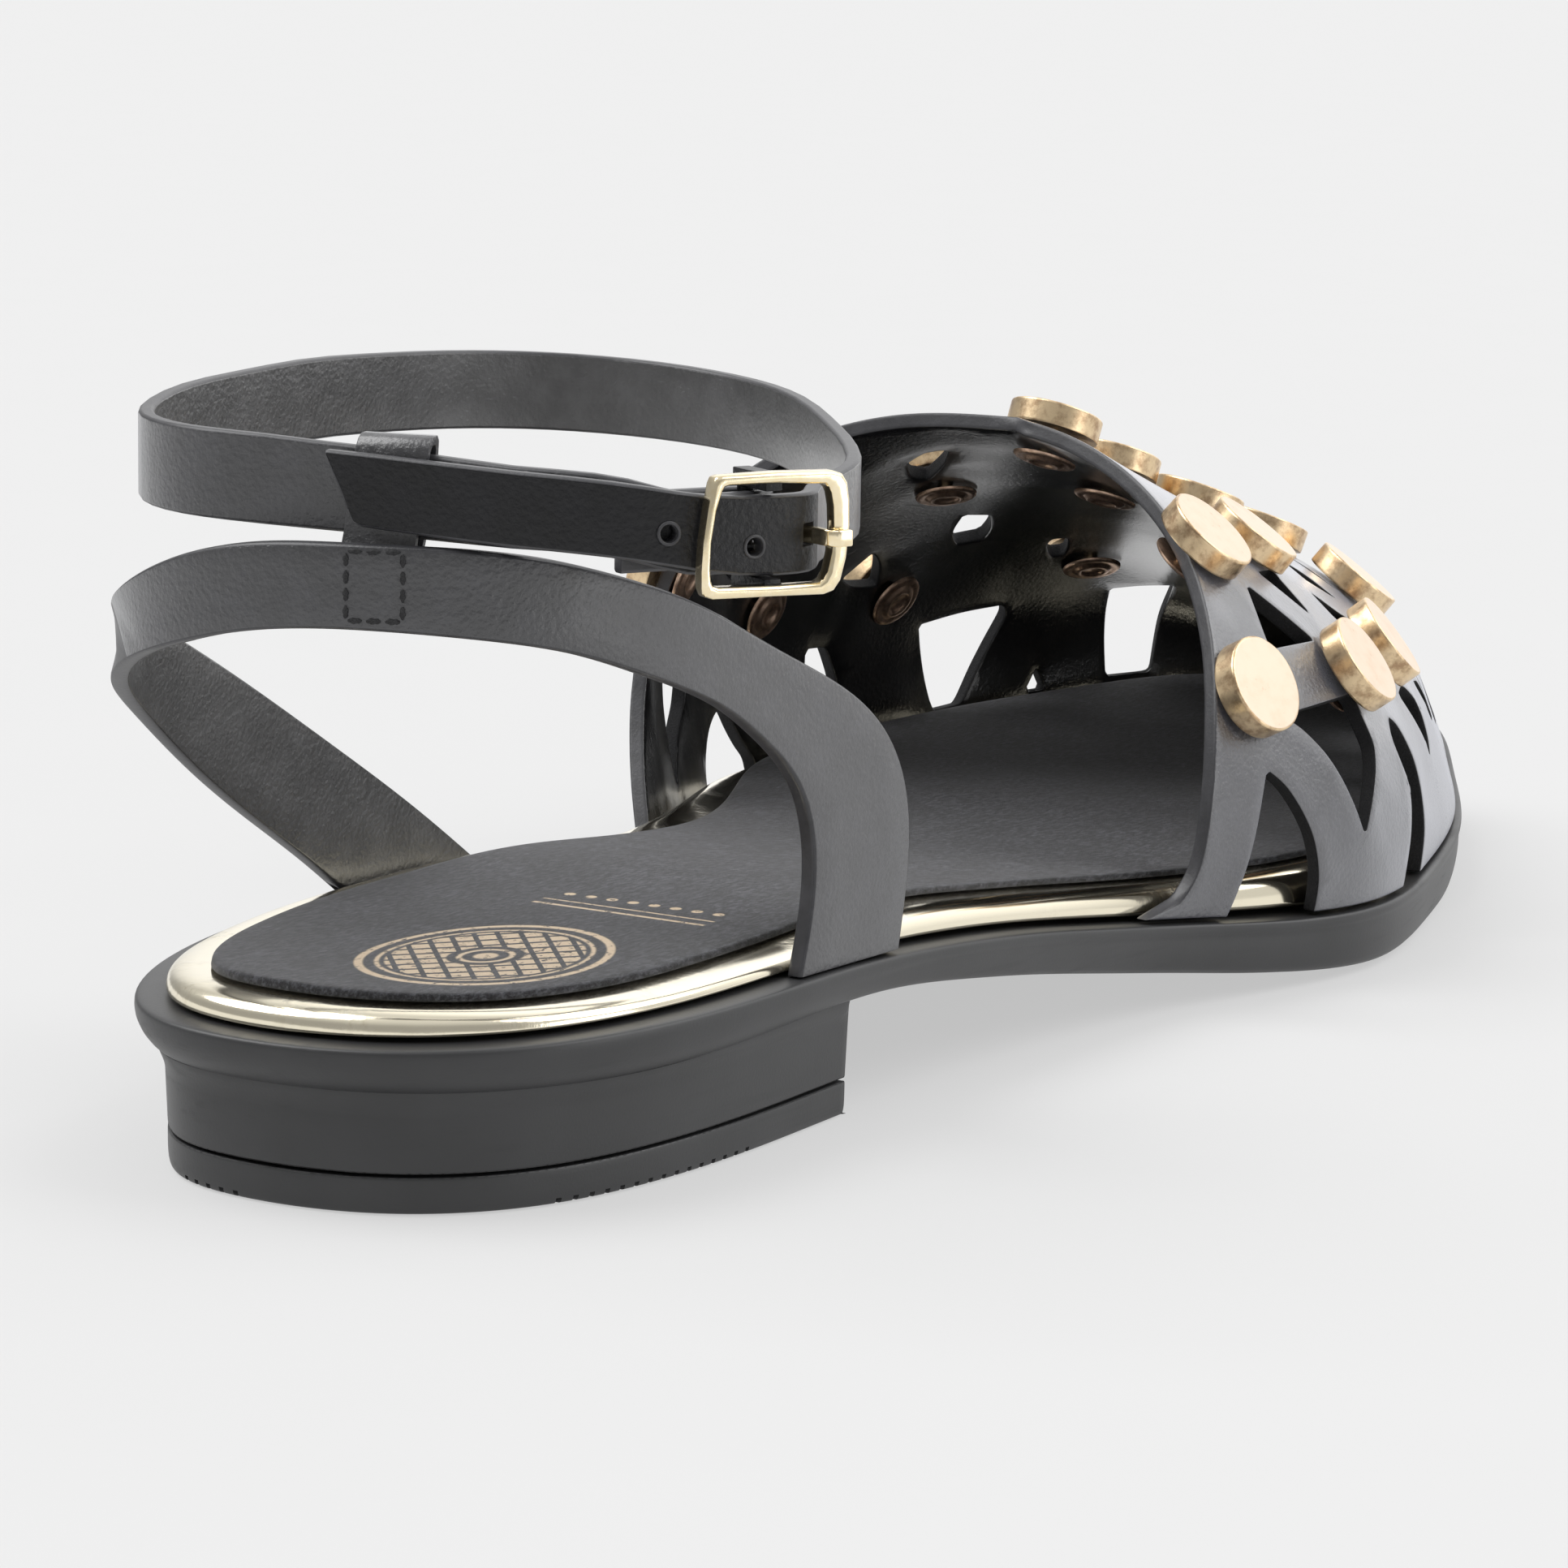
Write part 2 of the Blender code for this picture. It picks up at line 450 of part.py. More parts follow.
def vamp_pattern():
    """The flat pattern: outline, cut-outs and shank holes, cut into triangles."""
    spread = 7.0
    # outline: toe line, inner feather edge, topline, outer feather edge
    toe = [Vector((0, v)) for v in np.linspace(-GIRTH, GIRTH, 17)]
    inner = [Vector((u, GIRTH)) for u in np.arange(5, TOPLINE[-1][1] - 2, 5.2)]
    outer = [Vector((u, -GIRTH)) for u in np.arange(5, TOPLINE[0][1] - 2, 5.2)][::-1]
    top = [Vector((float(between(TOPLINE, q)), q * GIRTH)) for q in np.linspace(1, -1, 45)]
    outline = toe + inner + top + outer
    holes = []
    for _, side, points in CUTOUTS:
        holes.append(rounded([to_pattern(side, a, up) for a, up in points]))
    shanks = []
    for _, side, along, up in STUDS:
        ring = []
        middle = to_pattern(side, along, up)
        per_u = (on_last(side, along + 0.5, up) - on_last(side, along - 0.5, up)).to_3d()
        per_v = (on_last(side, along, up - 0.01) - on_last(side, along, up + 0.01)) * side / (0.02 * GIRTH)
        first = per_u.normalized()
        second = per_v - first * per_v.dot(first)
        for k in range(8):
            turn = k * math.pi / 4
            v = SHANK_HOLE * math.sin(turn) / second.length
            u = (SHANK_HOLE * math.cos(turn) - v * per_v.dot(first)) / per_u.length
            ring.append(middle + Vector((u, v)))
        shanks.append(ring)
    loops = [outline] + holes + shanks
    points, edges = [], []
    for loop in loops:
        first = len(points)
        points += loop
        edges += [(first + i, first + (i + 1) % len(loop)) for i in range(len(loop))]
    walls = [(points[a], points[b]) for a, b in edges]
    for row, u in enumerate(np.arange(spread, 158, spread * 0.87)):
        for v in np.arange(-GIRTH + spread / 2 + (row % 2) * spread / 2, GIRTH, spread):
            p = Vector((u, v))
            if abs(v) < spread / 2:
                p.y = 0.0
            if inside(p, outline) and not any(inside(p, hole) for hole in holes):
                if min(segment_distance(p, a, b) for a, b in walls) > spread * 0.36:
                    points.append(p)
    verts, _, faces, _, _, _ = delaunay_2d_cdt(points, edges, [], 0, 1e-5)
    kept = []
    for face in faces:
        middle = sum((verts[i] for i in face), Vector((0, 0))) / len(face)
        if inside(middle, outline) and not any(inside(middle, loop) for loop in holes + shanks):
            kept.append(face)
    return verts, kept


def make_vamp(leather):
    verts, faces = vamp_pattern()
    bm = bmesh.new()
    outside, within = [], []
    for v in verts:
        side, along, up = from_pattern(v.x, v.y)
        p = on_last(side, along, up)
        n = last_normal(side, along, up)
        if along < 0.01 or up > 0.99:
            n = (n + last_normal(-side, along, up)).normalized()  # the two sides meet here
        q = p - n * VAMP_THICKNESS
        if up < 0.004:
            q.z = p.z
        outside.append(bm.verts.new(p))
        within.append(bm.verts.new(q))
    used = {}
    for face in faces:
        bm.faces.new([outside[i] for i in face])
        bm.faces.new([within[i] for i in reversed(face)])
        for a, b in zip(face, list(face[1:]) + [face[0]]):
            key = (min(a, b), max(a, b))
            used.setdefault(key, []).append((a, b))
    for ends in used.values():
        if len(ends) == 1:
            a, b = ends[0]
            if verts[a].x < 1e-4 and verts[b].x < 1e-4:
                continue  # the two halves meet on the toe's middle line
            bm.faces.new((outside[b], outside[a], within[a], within[b]))
    loose = [v for v in bm.verts if not v.link_faces]
    bmesh.ops.delete(bm, geom=loose, context="VERTS")
    bmesh.ops.remove_doubles(bm, verts=bm.verts, dist=0.02)
    return solid("vamp", bm, leather)


# ---------------------------------------------------------------- straps
def section(low, high, out, thickness, chamfer):
    """Ring of a strap between its low and high edge on the outside, with cut corners."""
    up = (high - low).normalized()
    c = chamfer
    return [
        low + up * c,
        high - up * c,
        high - out * c,
        high - out * (thickness - c),
        high - up * c - out * thickness,
        low + up * c - out * thickness,
        low - out * (thickness - c),
        low - out * c,
    ]


def make_back_strap(leather):
    """A band round the heel between two edge paths, its feet cut flat above the outsole's ledge."""
    low, high = spline(BACK_LOW, 46), spline(BACK_HIGH, 46)
    rings = []
    for a, b, t in zip(low, high, np.gradient((low + high) / 2, axis=0)):
        a, b = Vector(a), Vector(b)
        out = (b - a).cross(Vector(t))
        out.z = 0
        rings.append(section(a, b, out.normalized(), BACK_THICKNESS, 0.3))
    return solid("back_strap", skin(rings), leather)


def at_buckle(u, v, n):
    """Point at u along the strap, v up and n outward from the middle of the buckle's bar."""
    turn = math.radians(BUCKLE_HEADING)
    along = Vector((math.cos(turn), math.sin(turn), 0))
    out = Vector((math.sin(turn), -math.cos(turn), 0))
    return Vector(BUCKLE_AT) + along * u + Vector((0, 0, v)) + out * n


WRAP = BAR_RADIUS + GAP + ANKLE_THICKNESS / 2  # middle of the layer that turns round the bar
OVER = WRAP + ANKLE_THICKNESS + GAP  # middle of the layer over it
FRAME_BACK = OVER + ANKLE_THICKNESS / 2 + GAP


def spaced(points, sag=0.05, longest=6.0):
    """A dense curve thinned to points that leave the same sag everywhere."""
    kept = [0]
    turn = 0.0
    for i in range(1, len(points) - 1):
        a, b = points[i] - points[i - 1], points[i + 1] - points[i]
        turn += math.acos(min(1, a.dot(b) / (a.length * b.length)))
        run = (points[i] - points[kept[-1]]).length
        if run * turn / 8 > sag or run > longest:
            kept.append(i)
            turn = 0.0
    if (points[-1] - points[kept[-1]]).length < 0.4:
        kept.pop()
    return [points[i] for i in kept] + [points[-1]]


def ankle_path():
    """Middle line of the strap, with its width as a fourth value: turned end, round the bar, the loop, up through the buckle, free end."""
    points = [(u, -0.1, -WRAP) for u in (-12, -8, -4, -1)]
    points += [(WRAP * math.cos(a), -0.1, WRAP * math.sin(a)) for a in np.radians(np.arange(-90, 91, 22.5))]
    points += [(u, -0.1, WRAP) for u in (-1, -3.5, -6)]
    points = [(*at_buckle(*p), BUCKLED_WIDTH) for p in points] + list(ANKLE_LOOP)
    rising = ((10.6, -0.1, -4.1), (8.1, -0.15, -1.5), (6.5, -0.2, 0.7), (5.2, -0.25, 2.4), (3.6, -0.25, 3.35), (1.8, -0.25, OVER), (-1, -0.2, OVER), (-5, 0.1, OVER))
    points += [(*at_buckle(*p), BUCKLED_WIDTH - 0.3 * (p[0] < -2)) for p in rising]
    return [Vector(p) for p in spline(points + list(ANKLE_TIP), 900)]


def cutter(name, bm):
    bmesh.ops.recalc_face_normals(bm, faces=bm.faces)
    move_to_row(bm)
    mesh = bpy.data.meshes.new(name)
    bm.to_mesh(mesh)
    bm.free()
    item = bpy.data.objects.new(name, mesh)
    bpy.context.scene.collection.objects.link(item)
    item.hide_render = True
    item.display_type = "WIRE"
    return item


def boolean(item, operation, other):
    step = item.modifiers.new(other.name, "BOOLEAN")
    step.operation = operation
    step.object = other
    step.solver = "EXACT"


def block(corners_low, corners_high):
    return skin([corners_low, corners_high])


def make_ankle_strap(leather):
    dense = ankle_path()
    path = spaced(dense[:-4]) + dense[-3:]
    half = ANKLE_THICKNESS / 2
    rings = []
    for k, p in enumerate(path):
        t = path[min(k + 1, len(path) - 1)] - path[max(k - 1, 0)]
        t = Vector((t.x, t.y, 0)).normalized()
        out = Vector((t.y, -t.x, 0))
        left = (p - path[-1]).length  # to the tip
        slant = t * TIP_SLANT / 2 * max(0, 1 - left / 6)
        corner = TIP_CORNER - math.sqrt(TIP_CORNER**2 - max(TIP_CORNER - left, 0) ** 2)
        low = p.to_3d() - Vector((0, 0, p.w / 2 - corner)) - slant
        high = p.to_3d() + Vector((0, 0, p.w / 2)) + slant
        rings.append(section(low + out * half, high + out * half, out, ANKLE_THICKNESS, 0.25))
    item = solid("ankle_strap", skin(rings), leather)
    # slot in the turn round the bar, for the prong's loop
    corners = [(-2.5, -3.2), (3.0, -3.2), (3.0, OVER - half - 0.15), (-2.5, OVER - half - 0.15)]
    v0, v1 = -PRONG_DROP - PRONG_WIDTH / 2 - GAP, -PRONG_DROP + PRONG_WIDTH / 2 + GAP
    boolean(item, "DIFFERENCE", cutter("prong_slot", block([at_buckle(u, v0, n) for u, n in corners], [at_buckle(u, v1, n) for u, n in corners])))
    # fastened hole, cut along the prong, and the adjusting holes after it
    corners = [(2.75, 2.0), (4.25, 1.2), (5.85, 4.1), (4.3, 4.9)]
    boolean(item, "DIFFERENCE", cutter("fastened_hole", block([at_buckle(u, v0, n) for u, n in corners], [at_buckle(u, v1, n) for u, n in corners])))
    bar = min(range(len(dense) * 2 // 3, len(dense)), key=lambda i: (dense[i].to_3d() - at_buckle(0, -0.25, OVER)).length)
    for number, (along, drop) in enumerate(HOLES, 1):
        i, run = bar, 0.0
        while run < -along:
            run += (dense[i + 1] - dense[i]).length
            i += 1
        step = dense[i + 1] - dense[i]
        out = Vector((step.y, -step.x, 0)).normalized()
        across = Vector((0, 0, 1)).cross(out)
        ring = [dense[i].to_3d() + across * HOLE_RADIUS * math.cos(a) + Vector((0, 0, HOLE_RADIUS * math.sin(a) + drop)) for a in np.linspace(0, 2 * math.pi, 10, endpoint=False)]
        boolean(item, "DIFFERENCE", cutter(f"hole_{number}", skin([[p - out * (half + 0.13) for p in ring], [p + out * (half + 0.13) for p in ring]])))
    return item


def offset_path(points, amount):
    """Both sides of a path in a plane, amount to the left and to the right."""
    p = np.array(points, float)
    t = np.gradient(p, axis=0)
    t /= np.linalg.norm(t, axis=1)[:, None]
    n = np.stack([-t[:, 1], t[:, 0]], 1) * amount
    return p + n, p - n


def make_keeper(leather):
    turn = math.radians(KEEPER_HEADING)
    inward = Vector((-math.cos(turn), -math.sin(turn), 0))
    along = Vector((inward.y, -inward.x, 0))
    path = spline(KEEPER_PATH, 60)
    path = [(p.x, p.y) for p in spaced([Vector((a, b, 0)) for a, b in path], 0.03, 4.0)]
    left, right = offset_path(path, KEEPER_THICKNESS / 2)
    rings = []
    for a, b in zip(left, right):
        ring = []
        for (w, z), v in ((a, -1), (a, 1), (b, 1), (b, -1)):
            lean = (z - 57) * 0.14
            twist = -0.115 * min(max((z - 60) / 4, 0), 1)
            across = v * KEEPER_WIDTH / 2
            ring.append(Vector((*KEEPER_AT, z)) + inward * (w + twist * across) + along * (across + lean))
        rings.append(ring)
    return solid("strap_keeper", skin(rings), leather)


# ---------------------------------------------------------------- hardware
def turned(rings, segments):
    """Rings of (radius, height) about +Z, filled at both ends."""
    return skin([[Vector((r * math.cos(a), r * math.sin(a), h)) for a in np.linspace(0, 2 * math.pi, segments, endpoint=False)] for r, h in rings])


def place(item, point, axis):
    item.location = (point - Vector((ORIGIN_X, 0, 0))) * MM
    item.rotation_mode = "QUATERNION"
    item.rotation_quaternion = Vector((0, 0, 1)).rotation_difference(axis)
    return item


def seat(side, along, up, radius, depth):
    """How far a disc of this radius stands off the leather's outside, or off its inside at this depth."""
    point, out = on_last(side, along, up), last_normal(side, along, up)
    most = depth
    for a in np.arange(-10, 10.1, 1.0):
        for b in np.arange(-0.24, 0.241, 0.02):
            s, u = (side, up + b) if up + b <= 1 else (-side, 2 - up - b)
            if u < 0.02 or along + a < 0.5:
                continue
            away = on_last(s, along + a, u) - point - last_normal(s, along + a, u) * depth
            height = away.dot(out)
            if (away - out * height).length < radius + 0.4:
                most = max(most, height if depth == 0 else -height)
    return most


def make_studs(gold, bronze):
    """Drum studs standing on the vamp, each with a shank through it and a rivet ring inside."""
    stud = rivet = None
    for name, side, along, up in STUDS:
        point, out = on_last(side, along, up), last_normal(side, along, up)
        above, below = seat(side, along, up, STUD_RADIUS, 0), seat(side, along, up, RIVET_RADIUS, VAMP_THICKNESS)
        depth = VAMP_THICKNESS + GAP + RIVET_HEIGHT * 0.7
        if stud is None:
            stud = solid("stud_" + name, turned([(SHANK_RADIUS, -depth), (SHANK_RADIUS, 0), (STUD_RADIUS, 0), (STUD_RADIUS, STUD_HEIGHT - 0.4), (STUD_RADIUS - 0.4, STUD_HEIGHT)], 15), gold, False)
            loops = [(SHANK_RADIUS + 0.35, 0), (RIVET_RADIUS, 0), (RIVET_RADIUS - 0.7, RIVET_HEIGHT), (SHANK_RADIUS + 0.6, RIVET_HEIGHT)]
            rivet = solid("rivet_" + name, skin([[Vector((r * math.cos(a), r * math.sin(a), h)) for a in np.linspace(0, 2 * math.pi, 10, endpoint=False)] for r, h in loops], closed_path=True), bronze, False)
            first, second = stud, rivet
        else:
            first, second = bpy.data.objects.new("stud_" + name, stud.data), bpy.data.objects.new("rivet_" + name, rivet.data)
            bpy.context.scene.collection.objects.link(first)
            bpy.context.scene.collection.objects.link(second)
        place(first, point + out * (above + GAP), out)
        place(second, point - out * (below + GAP * 1.6), -out)


def make_buckle(gold):
    """Centre-bar buckle: frame over the strap, with its bar carried behind on two lugs, and the prong."""
    rings = []
    for (a, b), (c, d) in zip(FRAME_OUTSIDE, FRAME_INSIDE):
        back, front = FRAME_BACK, FRAME_BACK + BUCKLE_DEPTH
        rise, width = Vector((c - a, d - b)), 0.28
        rise *= width / rise.length
        rings.append([
            at_buckle(a, b, back),
            at_buckle(a, b, front - width),
            at_buckle(a + rise.x, b + rise.y, front),
            at_buckle(c - rise.x, d - rise.y, front),
            at_buckle(c, d, front - width),
            at_buckle(c, d, back),
        ])
    frame = solid("buckle_frame", skin(rings, closed_path=True), gold)
    bar = skin([[at_buckle(BAR_RADIUS * math.cos(a), v, BAR_RADIUS * math.sin(a)) for a in np.linspace(0, 2 * math.pi, 12, endpoint=False)] for v in (-5.2, 5.4)])
    boolean(frame, "UNION", cutter("buckle_bar", bar))
    for name, v0, v1 in (("low", -BUCKLED_WIDTH / 2 - 0.1 - GAP, -5.3), ("high", BUCKLED_WIDTH / 2 - 0.05 + GAP, 5.5)):
        corners = [(-0.85, -0.9), (0.85, -0.9), (0.85, FRAME_BACK + 0.6), (-0.85, FRAME_BACK + 0.6)]
        lug = block([at_buckle(u, v0, n) for u, n in corners], [at_buckle(u, v1, n) for u, n in corners])
        boolean(frame, "UNION", cutter("buckle_lug_" + name, lug))

    ring = BAR_RADIUS + 0.25 + PRONG_THICKNESS / 2
    rest = FRAME_BACK + BUCKLE_DEPTH + GAP + PRONG_THICKNESS / 2
    points = [(ring * math.cos(a), ring * math.sin(a)) for a in np.radians(np.arange(140, 361, 20))]
    points += [(1.95, 0.9), (3.2, 1.65), (4.25, 2.6), (4.9, 4.1), (5.02, 5.6), (5.15, 6.6), (5.65, 7.15), (6.3, rest), (7.0, rest)]
    left, right = offset_path(points, PRONG_THICKNESS / 2)
    v0, v1 = -PRONG_DROP - PRONG_WIDTH / 2, -PRONG_DROP + PRONG_WIDTH / 2
    solid("buckle_prong", skin([[at_buckle(a[0], v0, a[1]), at_buckle(a[0], v1, a[1]), at_buckle(b[0], v1, b[1]), at_buckle(b[0], v0, b[1])] for a, b in zip(left, right)]), gold)


def build():
    for item in list(bpy.data.objects):
        bpy.data.objects.remove(item)

    rubber = material("black rubber", (0.028, 0.028, 0.029), 0.62)
    leather = material("black leather", (0.022, 0.022, 0.024), 0.42)
    rand_gold = material("pale gold leather", (0.80, 0.68, 0.43), 0.28, 0.85)
    suede = material("black nubuck", (0.030, 0.030, 0.034), 0.85)
    stud_gold = material("antique gold", (0.80, 0.58, 0.34), 0.32, 1.0)
    bronze = material("bronze", (0.25, 0.16, 0.11), 0.45, 1.0)
    bright_gold = material("polished gold", (0.95, 0.80, 0.50), 0.12, 1.0)

    # outsole: underside, rounded corner, side, groove under the lip, ledge. At the heel its side rounds in to the block
    def under(x, side=0):
        return under_z(x)

    def top(x, side=0):
        return top_z(x)

    def level(height):
        return lambda x, side: height + 0 * x

    def above(surface, amount):
        return lambda x, side: surface(x, side) + amount

    def heel_mix(elsewhere, heel):
        """From the heel's value to the one elsewhere, in front of the heel."""
        share = lambda x: between(((50, 0), (74, 1)), x)
        return lambda x, side: heel + (elsewhere - heel) * share(x)

    def heel_height(elsewhere, heel):
        share = lambda x: between(((50, 0), (74, 1)), x)
        return lambda x, side: heel(x) + (elsewhere(x) - heel(x)) * share(x)

    layers = [
        layer(heel_mix(1.7, 3.0), under),
        layer(heel_mix(0.7, 1.9), heel_height(lambda x: under(x) + 0.8, lambda x: under(x) + 0.45)),
        layer(heel_mix(0.15, 0.7), heel_height(lambda x: under(x) + 0.55 * (top(x) - under(x)), lambda x: under(x) + 1.75)),
        layer(heel_mix(LIP_GROOVE, 0.12), heel_height(lambda x: top(x) - LIP_DEPTH - 0.25, lambda x: top(x) - LIP_DEPTH - 0.6)),
        layer(0.0, above(top, 0.1 - LIP_DEPTH)),
        layer(0.0, above(top, -0.5)),
        layer(0.15, above(top, -0.15)),
        layer(0.55, top),
        layer(RAND_INSET + 1.5, top),
    ]
    solid("outsole", plate(layers), rubber)

    # heel block and top lift
    solid("heel_block", plate([
        layer(HEEL_INSET + 0.1, level(LIFT_HEIGHT + GAP), HEEL_BREAST_X),
        layer(HEEL_INSET, level(LIFT_HEIGHT + GAP + 0.2), HEEL_BREAST_X),
        layer(HEEL_INSET - 0.3, above(under, -GAP), HEEL_BREAST_X),
    ]), rubber)
    solid("heel_top_lift", plate([
        layer(HEEL_INSET + 0.9, level(0.0), HEEL_BREAST_X),
        layer(HEEL_INSET + 0.25, level(0.25), HEEL_BREAST_X),
        layer(HEEL_INSET, level(0.9), HEEL_BREAST_X),
        layer(HEEL_INSET, level(LIFT_HEIGHT - 0.15), HEEL_BREAST_X),
        layer(HEEL_INSET + 0.1, level(LIFT_HEIGHT), HEEL_BREAST_X),
    ]), rubber)

    # footbed: gold rand round a padded plate, raised under the arch, and the sock on it
    def edge(x, side):
        return between(SOCK_EDGE[side], x)

    def shoulder(x, side):
        return np.minimum(RAND_INSET + RAND_ROUND, edge(x, side) - 0.7)

    def side_of_rand(inset, under_toe):
        """The rand leans in beneath the vamp's toe, most of all on the outer side."""
        return lambda x, side: inset + between(((182, 0), (206, 1), (238, 1), (247, 0)), x) * under_toe * (1 if side < 0 else 0.45)

    def rand(share, rise=0.0):
        return lambda x, side: top(x) + GAP + share * between(RAND_HEIGHT, x) + (rise * between(ARCH_RISE, x) if side > 0 else 0)

    solid("footbed_rand", plate([
        layer(RAND_INSET + 0.1, rand(0.0)),
        layer(RAND_INSET, rand(0.12)),
        layer(side_of_rand(RAND_INSET + 0.1, 1.7), rand(0.55, 0.4)),
        layer(side_of_rand(RAND_INSET + 0.8, 1.4), rand(0.86, 0.85)),
        layer(shoulder, rand(1.0, 1.0)),
        layer(lambda x, side: edge(x, side) - 0.25, rand(1.0, 0.0)),
    ]), rand_gold)
    solid("insole_sock", plate([
        layer(edge, above(rand(1.0), GAP)),
        layer(lambda x, side: edge(x, side) + 0.1, above(rand(1.0), GAP + 0.65)),
        layer(lambda x, side: edge(x, side) + 0.45, above(rand(1.0), GAP + SOCK_THICKNESS)),
    ]), suede)

    make_vamp(leather)
    make_back_strap(leather)
    make_ankle_strap(leather)
    make_keeper(leather)
    make_studs(stud_gold, bronze)
    make_buckle(bright_gold)


build()
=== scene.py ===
import json
import math

import bpy
from mathutils import Matrix, Vector

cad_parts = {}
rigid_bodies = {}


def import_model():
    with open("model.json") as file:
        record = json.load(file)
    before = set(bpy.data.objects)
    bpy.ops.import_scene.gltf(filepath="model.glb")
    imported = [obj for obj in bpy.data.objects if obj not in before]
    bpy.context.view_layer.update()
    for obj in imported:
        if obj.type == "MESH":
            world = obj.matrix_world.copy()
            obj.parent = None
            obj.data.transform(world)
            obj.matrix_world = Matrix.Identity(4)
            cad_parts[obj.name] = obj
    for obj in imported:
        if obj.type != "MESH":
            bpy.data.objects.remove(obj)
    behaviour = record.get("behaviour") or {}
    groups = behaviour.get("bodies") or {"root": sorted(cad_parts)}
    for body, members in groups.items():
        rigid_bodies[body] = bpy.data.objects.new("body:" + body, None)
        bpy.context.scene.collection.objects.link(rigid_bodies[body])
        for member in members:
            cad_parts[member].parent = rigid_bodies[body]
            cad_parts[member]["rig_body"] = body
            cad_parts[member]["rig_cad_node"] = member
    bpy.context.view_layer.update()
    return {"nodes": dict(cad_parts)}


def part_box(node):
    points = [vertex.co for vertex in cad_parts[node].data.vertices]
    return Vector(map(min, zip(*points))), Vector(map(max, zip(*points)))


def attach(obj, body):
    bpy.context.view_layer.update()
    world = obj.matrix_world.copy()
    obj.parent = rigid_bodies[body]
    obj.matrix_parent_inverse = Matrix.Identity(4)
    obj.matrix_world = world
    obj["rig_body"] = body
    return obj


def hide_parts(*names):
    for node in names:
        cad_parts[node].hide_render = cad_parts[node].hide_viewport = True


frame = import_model()
mm = 0.001
print("frame loaded")


# shader wiring
class Wire:  # a socket of a shader tree, so that maths on it reads as maths
    def __init__(self, tree, socket=None):
        self.tree, self.socket = tree, socket

    def make(self, kind, settings=None, inputs=None, out=0):
        node = self.tree.nodes.new("ShaderNode" + kind)
        for key, value in (settings or {}).items():
            setattr(node, key, value)
        for key, value in (inputs or {}).items():
            socket = node.inputs[key]
            if isinstance(value, Wire):
                self.tree.links.new(value.socket, socket)
            elif isinstance(value, tuple) and socket.type == "RGBA" and len(value) == 3:
                socket.default_value = (*value, 1)
            else:
                socket.default_value = value
        return Wire(self.tree, node.outputs[out] if node.outputs else None)

    def maths(self, operation, *values):
        return self.make("Math", {"operation": operation}, dict(enumerate(values)))

    def __add__(self, other):
        return self.maths("ADD", self, other)

    def __sub__(self, other):
        return self.maths("SUBTRACT", self, other)

    def __rsub__(self, other):
        return self.maths("SUBTRACT", other, self)

    def __mul__(self, other):
        return self.maths("MULTIPLY", self, other)

    def __truediv__(self, other):
        return self.maths("DIVIDE", self, other)

    def __rtruediv__(self, other):
        return self.maths("DIVIDE", other, self)

    def __pow__(self, other):
        return self.maths("POWER", self, other)

    def __rpow__(self, other):
        return self.maths("POWER", other, self)

    __radd__ = __add__
    __rmul__ = __mul__

    def ramp(self, low, high):  # smooth step from 0 at low to 1 at high
        return self.make("MapRange", {"interpolation_type": "SMOOTHSTEP"}, {0: self, 1: low, 2: high})

    def mix(self, first, second):  # this wire chooses between two colours
        return self.make("Mix", {"data_type": "RGBA"}, {0: self, 6: first, 7: second}, 2)

    def noise(self, size, detail=3.0, rough=0.55, stretch=(1, 1, 1)):  # size of the blobs in metres
        place = self.make("Mapping", {}, {"Vector": self, "Scale": stretch})
        return self.make("TexNoise", {}, {"Vector": place, "Scale": 1 / size, "Detail": detail, "Roughness": rough})


def newMaterial(name, recipe):  # a recipe gives the shader's inputs, and "height" as (pattern, depth)
    made = bpy.data.materials.new(name)
    made.use_nodes = True
    made.node_tree.nodes.clear()
    wire = Wire(made.node_tree)
    inputs = recipe(wire, wire.make("TexCoord", out="Object"))
    height, depth = inputs.pop("height", (None, 0))
    if height is not None:
        inputs["Normal"] = wire.make("Bump", {}, {"Height": height, "Distance": depth})
    shader = wire.make("BsdfPrincipled", {}, inputs)
    wire.make("OutputMaterial", {}, {"Surface": shader})
    return made


# leather
hide = {
    "dark": (0.016, 0.016, 0.019), "light": (0.026, 0.026, 0.031), "patches": 3.2 * mm,
    "roughness": 0.33, "worn": 9 * mm, "gloss": 0.8, "coat": 0.75, "coatRoughness": 0.28,
    "grain": 0.52 * mm, "depth": 0.14 * mm,
}
waxedHide = {**hide, "sheen": 0.12, "sheenRoughness": 0.4, "sheenTint": (0.9, 0.92, 1.0)}
satinHide = {
    **hide, "dark": (0.020, 0.020, 0.025), "light": (0.032, 0.032, 0.040), "roughness": 0.30, "gloss": 0.95,
    "coat": 1.0, "sheen": 0.45, "sheenRoughness": 0.45, "sheenTint": (0.84, 0.87, 1.0),
}
polishedLining = {
    **hide, "dark": (0.005, 0.005, 0.006), "light": (0.009, 0.009, 0.010), "roughness": 0.20,
    "coat": 0.9, "depth": 0.06 * mm,
}
greyLining = {
    **hide, "dark": (0.055, 0.055, 0.056), "light": (0.085, 0.085, 0.087), "roughness": 0.38, "depth": 0.16 * mm,
}
# painted shade: a blacker copy of the hide for the strap's free end, which turns downward and looks darker
paintedShadeHide = {
    **hide, "dark": (0.0035, 0.0035, 0.0045), "light": (0.006, 0.006, 0.008), "roughness": 0.40, "gloss": 0.42,
    "coat": 0.0, "depth": 0.10 * mm,
}
paint = {
    "dark": (0.035, 0.035, 0.039), "light": (0.055, 0.055, 0.061), "roughness": 0.34, "gloss": 0.6,
    "ripple": 2.4 * mm, "specks": 0.35 * mm, "depth": 0.05 * mm,
}
